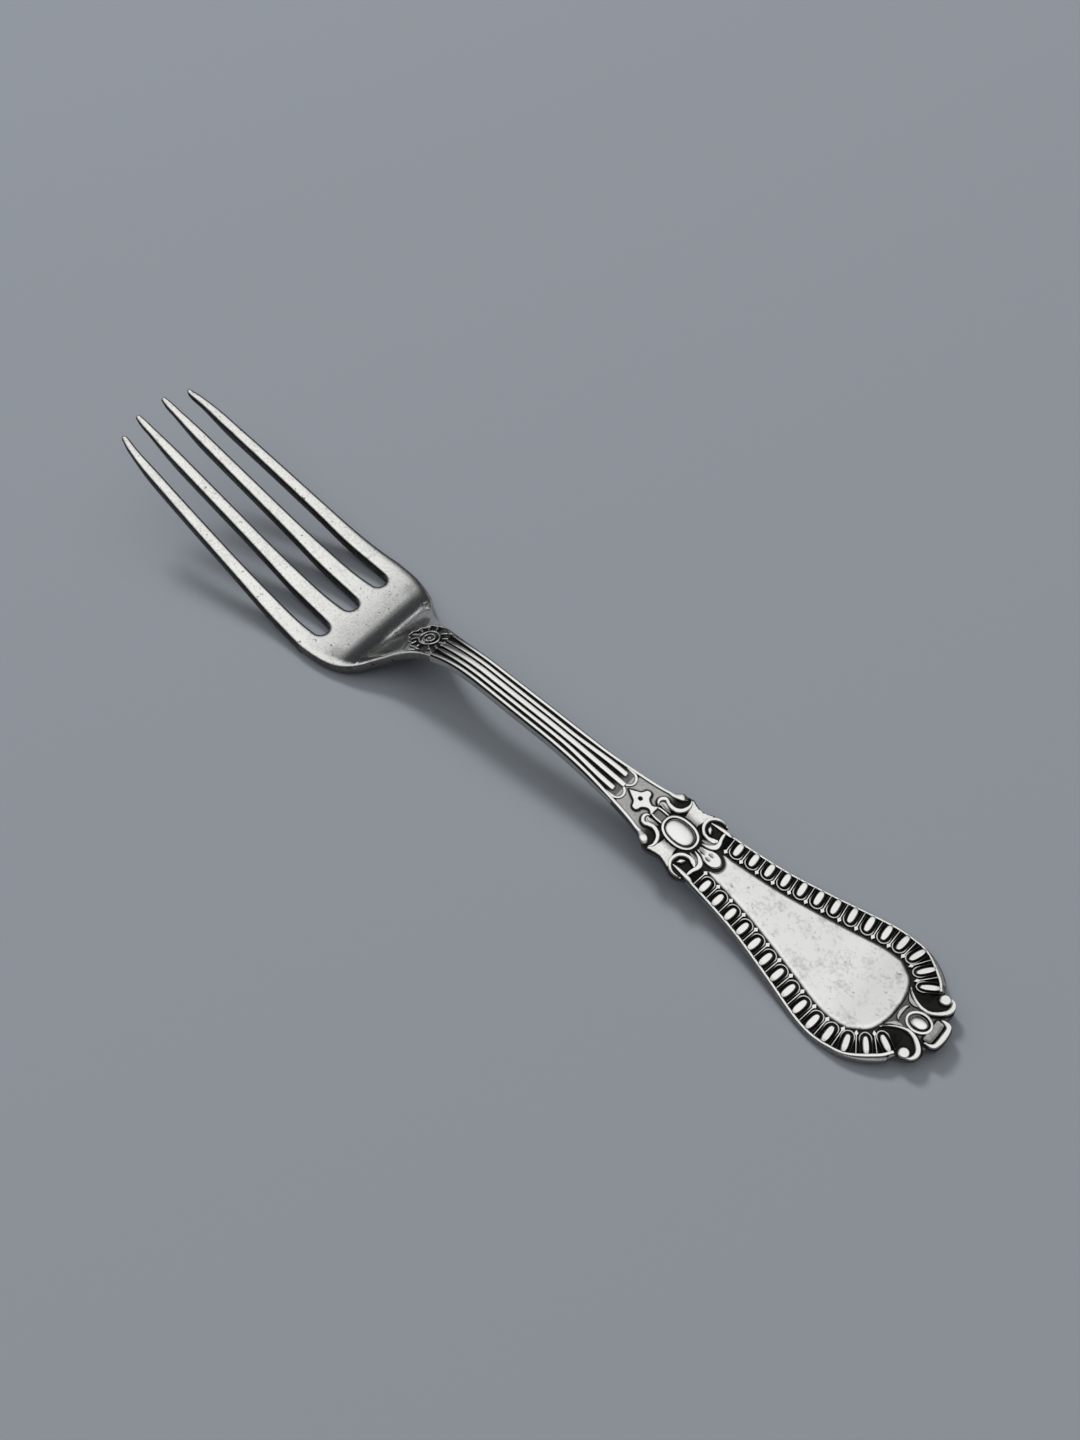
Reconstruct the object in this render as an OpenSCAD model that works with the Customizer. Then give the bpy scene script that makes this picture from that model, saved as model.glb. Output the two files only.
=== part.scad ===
// Dinner fork: four tines, a reeded stem, a scrolled collar and an egg-and-dart handle.
// X runs along the fork with the tines at +X, Y across it, and it rests on Z = 0, tines up.
// The ground is the top face of the plain metal. Ornament stands on it in relief.

/* [Lengths] */
// Overall length, from the end tab to the tips of the inner tines
overall_length = 203; // [190:1:220]
// Tines, from the slot ends to the tips of the inner pair
tine_length = 58.7; // [50:0.1:64]
// How much shorter the outer tines are than the inner ones
outer_tine_setback = 1.7; // [0:0.1:4]
// Flat web between the slot ends and the neck
web_length = 10.8; // [9:0.1:14]
// Neck, where the web narrows and climbs to the stem
neck_length = 14.5; // [12:0.1:18]
// Handle blade, from the collar to the end plate
blade_length = 46.5; // [40:0.1:54]
// End plate, with its scrolls and tab
end_length = 6; // [5.5:0.1:8]

/* [Widths] */
// Head, at its widest
head_width = 29; // [24:0.1:32]
// Stem, at its narrowest
stem_width = 6.2; // [5.4:0.1:7]
// Stem, where it meets the neck
stem_neck_width = 7.4; // [6.4:0.1:8.5]
// Stem, where it meets the collar
stem_collar_width = 8.3; // [7.4:0.1:9]
// Collar, across the upper lugs
upper_lug_width = 14.1; // [12.8:0.1:15.5]
// Collar, across the waist between its lugs
collar_waist_width = 12.9; // [11.8:0.1:13.6]
// Collar, across the lower lugs
lower_lug_width = 15.4; // [14.2:0.1:17]
// Handle blade, where it leaves the collar
blade_start_width = 13.1; // [12:0.1:14]
// Handle blade, at its widest
handle_width = 28; // [24:0.1:31]
// End plate, across its scrolls
end_scroll_width = 14.8; // [13.8:0.1:16]
// End tab
tab_width = 6.2; // [5.4:0.1:7]

/* [Heights] */
// Ground height at the handle's end
end_height = 3.5; // [3:0.1:8]
// Ground height where the stem eases towards its crest
shoulder_height = 12.1; // [9:0.1:15]
// Ground height of the stem's crest, before rounding
crest_height = 14.3; // [11:0.1:17]
// Ground height of the brow, where the neck turns down
brow_height = 11.4; // [9:0.1:14]
// Ground height of the inner tines' tips
tip_height = 22.1; // [16:0.1:28]

/* [Bends] */
// Bend where the handle rests, half its length
rest_bend = 4; // [3:0.1:8]
// Bend where the stem eases towards its crest, half its length
shoulder_bend = 6; // [3:0.1:10]
// Bend over the crest, half its length
crest_bend = 6; // [4:0.1:8]
// Bend over the brow, half its length
brow_bend = 4.3; // [3:0.1:5]
// Bend at the heel, half its length
heel_bend = 5.2; // [4:0.1:6]
// Bend where the tines begin to rise, half its length
rise_bend = 13; // [10:0.1:16]
// Distance from the slot ends to the middle of the tines' bend
rise_from_slot = 3.4; // [2:0.1:6]

/* [Thickness] */
// Plain metal under the handle's ornament
blade_thickness = 1.55; // [1.3:0.05:2.4]
// Stem at its narrowest
stem_thickness = 2.5; // [2:0.05:3.5]
// Neck
neck_thickness = 2.8; // [2.6:0.05:4]
// Web
web_thickness = 3.1; // [2.4:0.05:3.6]
// Tines, half way along
tine_thickness = 2.4; // [1.8:0.05:3]
// Tines, at the tip
tip_thickness = 1.3; // [0.9:0.05:1.8]
// Depth worn flat where the fork rests
wear_depth = 0.12; // [0.05:0.01:0.25]

/* [Edges] */
// Rounding of the top edges
top_round = 0.35; // [0.2:0.05:0.5]
// Rounding of the web's lower edges
web_round = 0.9; // [0.5:0.05:1.2]
// Rounding of the neck's lower edges
neck_round = 1.3; // [0.7:0.05:1.4]
// Rounding of the stem's lower edges
stem_round = 1.1; // [0.6:0.05:1.2]
// Rounding of the collar's lower edges
collar_round = 0.8; // [0.4:0.05:1]
// Rounding of the handle's lower edges
blade_round = 0.7; // [0.4:0.05:0.8]

/* [Tines] */
// Slot width at its closed end
slot_width = 3.7; // [2.8:0.1:4.2]
// Distance between slot centres
slot_pitch = 8.37; // [7.6:0.01:9.2]
// Tine width at the web, without its flare
shank_width = 2.9; // [2.3:0.05:3.4]
// Tine width near the tip
tip_width = 1.5; // [1:0.05:2]
// Length over which a tine flares into the web
flare_length = 24; // [14:0.5:32]
// Centre of an inner tine's tip, from the fork's axis
inner_tip_offset = 3.5; // [2.8:0.05:4.2]
// Centre of an outer tine's tip, from the fork's axis
outer_tip_offset = 9.6; // [8.6:0.05:11]
// How far an outer tine bows outwards
outer_bow = 0.3; // [0:0.05:1]
// How far an outer tine's point leans inwards
outer_lean = 0.75; // [0:0.05:1.2]

/* [Relief] */
// Height of the ornament above the ground
relief = 0.55; // [0.35:0.01:0.8]
// Width of the threads along the edges of the stem and collar
thread_width = 0.62; // [0.45:0.01:0.75]
// Width of the stem's flat middle band
band_width = 1.3; // [1:0.05:1.6]
// Width of each rounded reed beside the band
reed_width = 0.8; // [0.6:0.05:0.95]
// Width of the line that forms the two arches
arch_line = 0.45; // [0.3:0.01:0.6]
// Width of the scrolls' bands
scroll_width = 0.88; // [0.6:0.01:0.95]
// Clear seam between ornaments that meet
seam = 0.06; // [0.04:0.01:0.12]
// Plain edge left outside the rim and the end tab's lip
edge_land = 0.08; // [0.04:0.01:0.15]
// Plain edge left outside the threads
thread_land = 0.3; // [0.1:0.01:0.4]
// How far the reeding stops short of the neck
reed_stop = 0.35; // [0.2:0.05:0.8]
// Distance from the collar's start to the middle of the arches
arch_inset = 0.6; // [0.4:0.05:1]

/* [Collar ornament] */
// Gap from the arches to the fleur's tip
fleur_gap = 0.8; // [0.6:0.05:1.4]
// Length of the fleur
fleur_length = 6.2; // [5.4:0.1:7]
// Width across the fleur's barbs
fleur_width = 4.7; // [3.8:0.1:5.4]
// Length of the two arms that join the fleur to the oval
arm_length = 2.6; // [2.2:0.05:3.4]
// Length of the oval, over its ring
oval_length = 7.6; // [6.6:0.1:8.4]
// Width of the oval, over its ring
oval_width = 5.8; // [4.8:0.1:6.2]
// Gap from the oval to the handle blade
oval_gap = 2.8; // [2.6:0.05:3.2]
// Radius of the upper scrolls' curl
upper_curl = 2; // [1.7:0.05:2.1]
// Radius of the lower scrolls' curl
lower_curl = 2.25; // [2:0.05:2.35]
// Length of the plain straps beside the oval
strap_length = 2.5; // [2:0.1:2.8]
// Width of an oval's ring
ring_width = 0.5; // [0.35:0.01:0.65]
// Groove between an oval's ring and its boss
ring_groove = 0.3; // [0.2:0.01:0.45]
// Gap from the oval to the petal
petal_gap = 0.5; // [0.4:0.05:0.8]
// Length of the petal that laps onto the panel
petal_length = 5.4; // [4.4:0.1:6.2]
// Width of the petal
petal_width = 2.9; // [2.6:0.1:3.6]

/* [Handle border] */
// Distance from the blade's end to its widest place
widest_from_end = 11.5; // [10:0.1:14]
// Length of the blade's round end, beyond its widest place
round_end = 15.4; // [14.8:0.1:20]
// Width of the raised rim
rim_width = 0.6; // [0.5:0.05:0.9]
// How far the rim runs into the lower scrolls
rim_lead = 3.2; // [2.6:0.1:3.6]
// How far the rim runs onto the end plate
rim_lap = 0.8; // [0.5:0.05:1]
// Clear gap between the rim and the eggs and darts
rim_clear = 0.18; // [0.12:0.01:0.3]
// Border width at the collar, rim included
border_start = 3.8; // [3.2:0.05:3.9]
// Border width at the blade's widest place, rim included
border_wide = 5.1; // [4:0.05:5.2]
// Distance from the handle blade's start to the first dart
border_inset = 1.4; // [1.2:0.05:2.2]
// Spacing of the eggs, along the middle of the border
egg_pitch = 3.3; // [3:0.05:4]
// Width of an egg
egg_width = 1.35; // [1:0.05:1.4]
// Width of the line that outlines each egg
egg_line = 0.34; // [0.25:0.01:0.42]
// Gap between an egg and its outline
egg_gap = 0.31; // [0.18:0.01:0.34]
// Width of a dart's shaft
dart_width = 0.3; // [0.2:0.01:0.4]
// Length of a dart's spear point
spear_length = 1.1; // [0.9:0.05:1.3]
// Width of a dart's spear point
spear_width = 0.7; // [0.5:0.01:0.7]
// How far the spear points reach beyond the eggs' outlines
spear_lead = 0.35; // [0.25:0.01:0.5]
// Gap from the border to the panel's raised field
field_gap = 0.35; // [0.3:0.05:0.8]
// Distance from the panel's raised field to the blade's end
field_from_end = 4.7; // [4.3:0.1:6]

/* [End ornament] */
// Length of the end oval, over its ring
end_oval_length = 5.1; // [4.4:0.1:5.4]
// Width of the end oval, over its ring
end_oval_width = 4.3; // [3.6:0.1:4.5]
// How far the end oval's middle lies beyond the blade's end
end_oval_lap = 0.5; // [0.3:0.05:0.7]
// Radius of the end scrolls' curl
end_curl = 2.05; // [1.8:0.05:2.3]
// Radius of the end scrolls' tails
tail_bend = 5.4; // [5:0.1:6.5]
// Length of the end tab
tab_length = 1.6; // [1.4:0.05:2]
// Rounding of the end tab's corners
tab_round = 0.9; // [0.6:0.05:1.1]
// Width of the lip round the end tab
tab_lip = 0.8; // [0.5:0.05:0.8]
// Diameter of the beads at the rim's ends
bead_diameter = 1.9; // [1.3:0.05:1.9]

/* [Rosette] */
// Distance from the stem's end to the rosette's middle
rosette_inset = 4.6; // [4.2:0.1:5.4]
// Length of the rosette's bead, over its ring
rosette_length = 3.2; // [2.6:0.1:3.8]
// Width of the rosette's bead, over its ring
rosette_width = 2.6; // [2:0.1:2.9]
// Width of the ring round the bead
rosette_ring = 0.4; // [0.3:0.05:0.5]
// Gap between the bead and its ring
rosette_gap = 0.2; // [0.15:0.05:0.3]
// Length of a petal
rosette_petal = 1.5; // [1.2:0.1:1.7]
// Petals round the rosette's tine side
rosette_petals = 5; // [3:1:7]

/* [Hidden] */
$fn = 48;

// Place at share u of the way from a to b
function between(a, b, u) = a + (b - a) * u;

bright = "#d9d8d4";
satin = "#bdbcb8";
dark = "#6e6d6b";

// Places along the fork, from the tips to the handle's end
x_tip = overall_length / 2;
x_slot = x_tip - tine_length;
x_shank = x_slot + slot_width / 2;
x_web = x_slot - web_length;
x_neck = x_web - neck_length;
x_end = -overall_length / 2;
x_plate = x_end + end_length;
x_blade = x_plate + blade_length;
x_oval = x_blade + oval_gap + oval_length / 2;
x_ring_front = x_oval + oval_length / 2;
x_fleur_root = x_ring_front + arm_length;
x_fleur_tip = x_fleur_root + fleur_length;
x_collar = x_fleur_tip + fleur_gap;
x_wide = x_plate + widest_from_end;
x_end_oval = x_plate - end_oval_lap;
x_rosette = x_neck + rosette_inset;
x_rest = between(x_plate, x_blade, 0.312);
x_shoulder = between(x_collar, x_neck, 0.3);
x_crest = between(x_collar, x_neck, 0.87);
x_brow = between(x_neck, x_web, 0.345);
x_heel = between(x_neck, x_web, 0.862);
x_fold = between(x_neck, x_web, 0.95);
x_rise = x_slot + rise_from_slot;

// Side line of the ground: straight runs that meet at corners [x, z, half length of the bend].
// A bend passes its corner at a quarter of its half length times its change of slope.
rest_height = blade_thickness - wear_depth;
web_height = web_thickness - wear_depth;
side_line = [
    [x_end, end_height, 0],
    [x_rest, rest_height - 0.09 * rest_bend, rest_bend],
    [x_shoulder, shoulder_height, shoulder_bend],
    [x_crest, crest_height, crest_bend],
    [x_brow, brow_height, brow_bend],
    [x_fold, web_height + 0.15 * heel_bend, heel_bend],
    [x_rise, web_height - 0.095 * rise_bend, rise_bend],
    [x_tip, tip_height, 0]];

// Thickness of the plain metal, eased between [x, thickness]
thickness_line = [
    [x_end, blade_thickness],
    [x_blade, blade_thickness],
    [x_shoulder, stem_thickness],
    [x_crest, stem_thickness],
    [x_brow, neck_thickness],
    [between(x_web, x_slot, 0.28), web_thickness],
    [x_slot, web_thickness],
    [between(x_slot, x_tip, 0.31), tine_thickness],
    [between(x_slot, x_tip, 0.75), tine_thickness],
    [x_tip, tip_thickness]];

// Half width of the outline, as [x, half width, slope]
outline_keys = [
    [x_wide, handle_width / 2, 0],
    [between(x_wide, x_blade, 0.31), between(handle_width, blade_start_width, 0.364) / 2, -0.36],
    [between(x_wide, x_blade, 0.66), between(handle_width, blade_start_width, 0.84) / 2, -0.21],
    [x_blade, blade_start_width / 2, -0.08],
    [between(x_blade, x_oval, 0.35), lower_lug_width / 2, 0],
    [x_oval, collar_waist_width / 2, 0],
    [between(x_oval, x_ring_front, 0.76), upper_lug_width / 2, 0],
    [between(x_ring_front, x_fleur_root, 0.69), between(stem_collar_width, upper_lug_width, 0.49) / 2, -0.32],
    [x_collar, stem_collar_width / 2, -0.1],
    [between(x_collar, x_neck, 0.41), between(stem_width, stem_collar_width, 0.095) / 2, 0],
    [between(x_collar, x_neck, 0.8), stem_width / 2, 0],
    [x_neck, stem_neck_width / 2, 0.17],
    [between(x_neck, x_web, 0.31), between(stem_neck_width, head_width, 0.1) / 2, 0.32],
    [x_heel, between(stem_neck_width, head_width, 0.566) / 2, 1.0],
    [between(x_web, x_slot, 0.49), between(stem_neck_width, head_width, 0.939) / 2, 0.22],
    [between(x_slot, x_tip, 0.043), head_width / 2, 0]];

// Half width of the end plate, as [x, half width, slope]
x_tab = x_end + tab_length;
x_lobe = between(x_tab, x_plate, 0.08);
end_keys = [
    [x_end, tab_width / 2 - tab_round, 1.6],
    [x_end + tab_round, tab_width / 2, 0],
    [x_tab, tab_width / 2, 0],
    [x_lobe, end_scroll_width / 2 - end_curl, 1.6],
    [between(x_end, x_plate, 0.68), end_scroll_width / 2, 0],
    [x_plate, outline(x_plate), outline_slope(x_plate)]];

// Sum of a list
function sum(v, i = 0) = i == len(v) ? 0 : v[i] + sum(v, i + 1);

// Numbers from a to b in n even steps
function spread(a, b, n) = [for (i = [0 : n]) a + (b - a) * i / n];

// Ramp of slope 0, then 1, rounded by a parabola within r of its corner, and its slope
function ramp(u, r) = u <= -r ? 0 : u >= r ? u : (u + r) * (u + r) / (4 * r);
function ramp_slope(u, r) = u <= -r ? 0 : u >= r ? 1 : (u + r) / (2 * r);

// Slope of the side line's run i, and the change of slope at its corner i
function run_slope(i) = (side_line[i + 1][1] - side_line[i][1]) / (side_line[i + 1][0] - side_line[i][0]);
function turn(i) = run_slope(i) - run_slope(i - 1);
side_turns = [for (i = [1 : len(side_line) - 2]) [side_line[i][0], turn(i), side_line[i][2]]];

// Height and slope of the ground at x
function ground(x) = side_line[0][1] + run_slope(0) * (x - x_end)
    + sum([for (t = side_turns) t[1] * ramp(x - t[0], t[2])]);
function ground_slope(x) = run_slope(0) + sum([for (t = side_turns) t[1] * ramp_slope(x - t[0], t[2])]);

// Index of the pair of keys round x
function span(keys, x, i = 0) = i >= len(keys) - 2 || x <= keys[i + 1][0] ? i : span(keys, x, i + 1);

// Smooth curve through keys [x, value, slope]
function hermite(a, b, u) = let (d = b[0] - a[0], v = 1 - u)
    a[1] * (1 + 2 * u) * v * v + b[1] * u * u * (3 - 2 * u) + d * u * v * (a[2] * v - b[2] * u);
function curve(keys, x) = let (i = span(keys, x), a = keys[i], b = keys[i + 1])
    hermite(a, b, min(1, max(0, (x - a[0]) / (b[0] - a[0]))));

// Value eased between keys [x, value]
function ease(keys, x) = let (i = span(keys, x), a = keys[i], b = keys[i + 1],
    u = min(1, max(0, (x - a[0]) / (b[0] - a[0])))) a[1] + (b[1] - a[1]) * u * u * (3 - 2 * u);

// Underside of the plain metal at x, its thickness measured square to the ground
function underside(x) = ground(x) - ease(thickness_line, x) * sqrt(1 + pow(ground_slope(x), 2));

// Half width of the fork's outline at x, with an elliptic round end on the blade
function outline(x) = x < x_wide
    ? handle_width / 2 * sqrt(max(0, 1 - pow((x_wide - x) / round_end, 2)))
    : curve(outline_keys, x);
function outline_slope(x, d = 0.05) = (outline(x + d) - outline(x - d)) / (2 * d);

// Cross section at x of plain metal between y0 and y1, with rounded corners
corner_steps = [0, 45, 90];
function corner(x, y, z, r, start) = [for (step = corner_steps) let (a = start + step)
    [x, y + r * cos(a), z + r * sin(a)]];
function section(x, y0, y1, z0, z1, r_top, r_bottom) = concat(
    corner(x, y1 - r_top, z1 - r_top, r_top, 0),
    corner(x, y0 + r_top, z1 - r_top, r_top, 90),
    corner(x, y0 + r_bottom, z0 + r_bottom, r_bottom, 180),
    corner(x, y1 - r_bottom, z0 + r_bottom, r_bottom, 270));

// Solid through rings of equally many points, closed at both ends or joined into a loop
module loft(rings, loop = false) {
    n = len(rings);
    m = len(rings[0]);
    last = loop ? n - 1 : n - 2;
    sides = [for (i = [0 : last], k = [0 : m - 1]) let (a = i * m + k, b = i * m + (k + 1) % m,
        c = (i + 1) % n * m + (k + 1) % m, d = (i + 1) % n * m + k) each [[a, d, c], [a, c, b]]];
    front = [for (k = [1 : m - 2]) [0, k, k + 1]];
    back = [for (k = [1 : m - 2]) [(n - 1) * m, (n - 1) * m + k + 1, (n - 1) * m + k]];
    polyhedron([for (r = rings) each r], loop ? sides : concat(sides, front, back), convexity = 8);
}

// Plain metal between two places along the fork, following the outline and the side line
function plate_ring(x, w, r_bottom) = let (t = ground(x) - underside(x))
    section(x, -w, w, underside(x), ground(x), top_round, min(r_bottom, 0.45 * t, 0.45 * w));
module plate(x0, x1, steps, r_bottom) {
    loft([for (x = spread(x0, x1, steps)) plate_ring(x, outline(x), r_bottom)]);
}

// Space below the table, which the worn flats are cut to
module below_table() {
    depth = 2 * web_thickness;
    translate([x_end, -head_width, -depth]) cube([overall_length, 2 * head_width, depth]);
}

// Point on the ground, raised by h
function seat(p, h = 0) = [p[0], p[1], ground(p[0]) + h];

// Direction of a path at its point i
function unit(v) = v / norm(v);
function heading(path, i) = unit(path[min(len(path) - 1, i + 1)] - path[max(0, i - 1)]);
function loop_heading(path, i) = let (n = len(path)) unit(path[(i + 1) % n] - path[(i + n - 1) % n]);

// Relief profiles, as [share of half width, share of height]
round_profile = [[1, 0], [0.65, 0.75], [0, 1], [-0.65, 0.75], [-1, 0]];
flat_profile = [[1, 0], [0.8, 1], [-0.8, 1], [-1, 0]];
line_profile = [[1, 0], [0, 1], [-1, 0]];
field_profile = [[1, 0], [0.94, 0.6], [0.5, 0.92], [0, 1], [-0.5, 0.92], [-0.94, 0.6], [-1, 0]];

// One ring of relief across a path
function relief_ring(p, d, half, h, profile) = let (across = half * [-d[1], d[0]])
    [for (q = profile) seat(p + q[0] * across, q[1] * h)];

// Ridge of relief along a path, with a half width at each of its points
module ridge(path, halves, h, profile) {
    loft([for (i = [0 : len(path) - 1]) relief_ring(path[i], heading(path, i), halves[i], h, profile)]);
}

// Ridge of relief round a closed path
module ridge_loop(path, half, h, profile) {
    rings = [for (i = [0 : len(path) - 1]) relief_ring(path[i], loop_heading(path, i), half, h, profile)];
    loft(rings, loop = true);
}

// Half widths along a path of n steps that swell from a to b and back to c
function swell(a, b, c, n) = [for (i = [0 : n]) let (u = i / n)
    u < 0.5 ? a + (b - a) * sin(180 * u) : c + (b - c) * sin(180 * u)];
function even(half, path) = [for (p = path) half];

// Plan shapes
function arc(center, r, a0, a1, n) = [for (a = spread(a0, a1, n)) center + r * [cos(a), sin(a)]];
function oval(center, rx, ry, n) = [for (i = [0 : n - 1]) let (a = 360 * i / n)
    center + [rx * cos(a), ry * sin(a)]];
function area2(p) = sum([for (i = [0 : len(p) - 1]) let (a = p[i], b = p[(i + 1) % len(p)])
    a[0] * b[1] - a[1] * b[0]]);
function turned_left(p) = area2(p) > 0 ? p : [for (i = [len(p) - 1 : -1 : 0]) p[i]];

// Mound of relief over an outline round its middle, with profile [share of outline, share of height]
soft_mound = [[1, 0], [0.86, 0.6], [0.5, 0.92]];
crisp_mound = [[1, 0], [0.7, 0.9]];
module mound(shape, middle, h, profile) {
    p = turned_left(shape);
    n = len(p);
    m = len(profile);
    points = concat([for (q = profile, v = p) seat(middle + q[0] * (v - middle), q[1] * h)],
        [seat(middle, h), seat(middle)]);
    sides = [for (j = [0 : m - 2], k = [0 : n - 1]) let (a = j * n + k, b = j * n + (k + 1) % n)
        each [[a, a + n, b + n], [a, b + n, b]]];
    crown = [for (k = [0 : n - 1]) [(m - 1) * n + k, m * n, (m - 1) * n + (k + 1) % n]];
    base = [for (k = [0 : n - 1]) [k, (k + 1) % n, m * n + 1]];
    polyhedron(points, concat(sides, crown, base), convexity = 6);
}

// Copies on both sides of the fork's axis
module both_sides() {
    children();
    mirror([0, 1, 0]) children();
}

// Border: place on the outline at x, pointing inwards
function border_normal(x) = let (s = outline_slope(x)) [s, -1] / sqrt(1 + s * s);
function border_width(x) = ease([[x_wide, border_wide], [x_blade, border_start]], x);
function border_point(x, inset) = [x, outline(x)] + inset * border_normal(x);

// Distance along the middle of the border from its start, as [distance, x]
border_places = spread(x_blade - border_inset, x_end_oval, 120);
border_mid = [for (x = border_places) border_point(x, border_width(x) / 2)];
border_steps = [for (i = [1 : len(border_mid) - 1]) norm(border_mid[i] - border_mid[i - 1])];
border_run = [for (i = 0, s = 0; i < len(border_mid); s = s + (i < len(border_steps) ? border_steps[i] : 0),
    i = i + 1) [s, border_places[i]]];
border_length = sum(border_steps);
egg_count = round(border_length / egg_pitch);
function border_x(s) = lookup(s, border_run);

// Plan point at depth a inwards of the rim and b along the border from the place x
function border_local(x, a, b) = let (n = border_normal(x))
    border_point(x, rim_width + a) + b * [n[1], -n[0]];
function egg_reach(x) = border_width(x) - rim_width - spear_lead;

// Tines: half width and centre line at share u of the length
function shank_taper(u) = (shank_width + (tip_width - shank_width) * u) / 2;
function flare(u, root_width, length) = let (v = max(0, 1 - u * length / flare_length))
    (root_width - shank_width) / 2 * v * v;
function point_taper(u) = u < 0.97 ? 1 : 1 - 0.55 * pow((u - 0.97) / 0.03, 2);
function lean(u, amount) = u < 0.86 ? 0 : -amount * pow((u - 0.86) / 0.14, 2);

// One tine from the web to its point
tine_shares = [0, 0.05, 0.1, 0.16, 0.23, 0.31, 0.4, 0.5, 0.6, 0.7, 0.79, 0.87, 0.93, 0.97, 0.985, 1];
module tine(root_offset, tip_offset, root_width, setback, bow, lean_in) {
    length = x_tip - setback - x_shank;
    rings = [for (u = tine_shares) let (x = x_shank + u * length,
        y = root_offset + (tip_offset - root_offset) * u + bow * 4 * u * (1 - u) + lean(u, lean_in),
        w = (shank_taper(u) + flare(u, root_width, length)) * point_taper(u),
        t = (ground(x) - underside(x)) * point_taper(u), r = 0.3 * min(w, t))
        section(x, y - w, y + w, ground(x) - t, ground(x), r, 1.3 * r)];
    loft(rings);
}
inner_root_width = slot_pitch - slot_width;
outer_root_width = outline(x_shank) - slot_pitch - slot_width / 2;
module inner_tine() {
    color(bright) tine(slot_pitch / 2, inner_tip_offset, inner_root_width, 0, 0, 0);
}
module outer_tine() {
    color(bright) tine(outline(x_shank) - outer_root_width / 2, outer_tip_offset, outer_root_width,
        outer_tine_setback, outer_bow, outer_lean);
}
module outer_left_tine() { outer_tine(); }
module inner_left_tine() { inner_tine(); }
module inner_right_tine() { mirror([0, 1, 0]) inner_tine(); }
module outer_right_tine() { mirror([0, 1, 0]) outer_tine(); }

// Flat web with the rounded ends of the three slots, worn flat at the heel
module slot_end() {
    translate([x_shank, 0, -tip_height]) cylinder(d = slot_width, h = 3 * tip_height);
}
module tine_root() {
    color(bright) difference() {
        plate(x_web, x_shank, 9, web_round);
        for (y = [-1, 0, 1] * slot_pitch) translate([0, y, 0]) slot_end();
        below_table();
    }
}

module neck() { color(satin) plate(x_neck, x_web, 12, neck_round); }
module stem() { color(dark) plate(x_collar, x_neck, 14, stem_round); }
module collar() { color(dark) plate(x_blade, x_collar, 24, collar_round); }

// Handle blade, worn flat where it rests
module handle_blade() {
    color(dark) difference() {
        plate(x_plate, x_blade, 26, blade_round);
        below_table();
    }
}

// End plate with a lobe under each scroll and the tab between them
end_stations = concat([for (u = [0, 0.25, 0.5, 1]) x_end + tab_round * u], [x_tab],
    [for (u = [0, 0.1, 0.25, 0.45, 0.7, 1]) between(x_lobe, x_plate, u)]);
module end_plate() {
    color(dark) loft([for (x = end_stations) plate_ring(x, curve(end_keys, x), blade_round)]);
}

// Threads along the edges of the stem and collar, ending in a knob at each upper lug
x_thread_end = between(x_oval, x_ring_front, 0.87);
function thread_y(x) = outline(x) - thread_width / 2 - thread_land;
module edge_threads() {
    path = [for (x = spread(x_thread_end, x_neck - reed_stop, 28)) [x, thread_y(x)]];
    color(bright) both_sides() ridge(path, even(thread_width / 2, path), relief, round_profile);
}

// Rounded reeds between the middle band and the threads, with rounded ends inside the arches
arch_center = x_collar + arch_inset;
function thread_inside(x) = thread_y(x) - thread_width / 2;
function reed_y(x) = (band_width / 2 + thread_inside(x)) / 2;
module stem_reeds() {
    n = 18;
    path = [for (x = spread(arch_center + arch_inset / 2, x_neck - reed_stop, n)) [x, reed_y(x)]];
    halves = [for (i = [0 : n]) reed_width / 2 * (i == 0 ? 0.55 : i == n ? 0.4 : 1)];
    color(bright) both_sides() ridge(path, halves, relief, round_profile);
}

// Middle band, and the line of two arches that closes the reeding at the collar
arch_y = thread_inside(arch_center) / 2;
arch_reach = thread_inside(arch_center) - seam - arch_line / 2 - arch_y;
module arch() {
    path = arc([arch_center, arch_y], arch_reach, 92, 250, 12);
    ridge(path, even(arch_line / 2, path), relief, round_profile);
}
module center_band() {
    path = [for (x = spread(arch_center + seam, x_neck - reed_stop, 16)) [x, 0]];
    color(bright) {
        ridge(path, even(band_width / 2, path), relief, flat_profile);
        both_sides() arch();
    }
}

// Bead, ring and leaves where the reeding ends on the brow of the neck
module neck_rosette() {
    middle = [x_rosette, 0];
    half = [rosette_length, rosette_width] / 2;
    ring = half - [1, 1] * rosette_ring / 2;
    bead = half - [1, 1] * (rosette_ring + rosette_gap);
    reach = half[0] + 1.3 * rosette_petal;
    curl = middle + [-1.5 * half[0], 1.45 * half[1]];
    path = arc(curl, rosette_petal / 2, 60, 270, 8);
    color(bright) {
        mound(oval(middle, bead[0], bead[1], 16), middle, relief, soft_mound);
        ridge_loop(oval(middle, ring[0], ring[1], 20), rosette_ring / 2, relief, round_profile);
        for (a = spread(-62, 62, rosette_petals - 1)) {
            c = middle + reach * [cos(a), 0.8 * sin(a)];
            mound(oval(c, rosette_petal / 2, 0.4 * rosette_petal, 10), c, 0.8 * relief, crisp_mound);
        }
        both_sides() ridge(path, even(rosette_ring / 2, path), 0.8 * relief, round_profile);
    }
}

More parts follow.
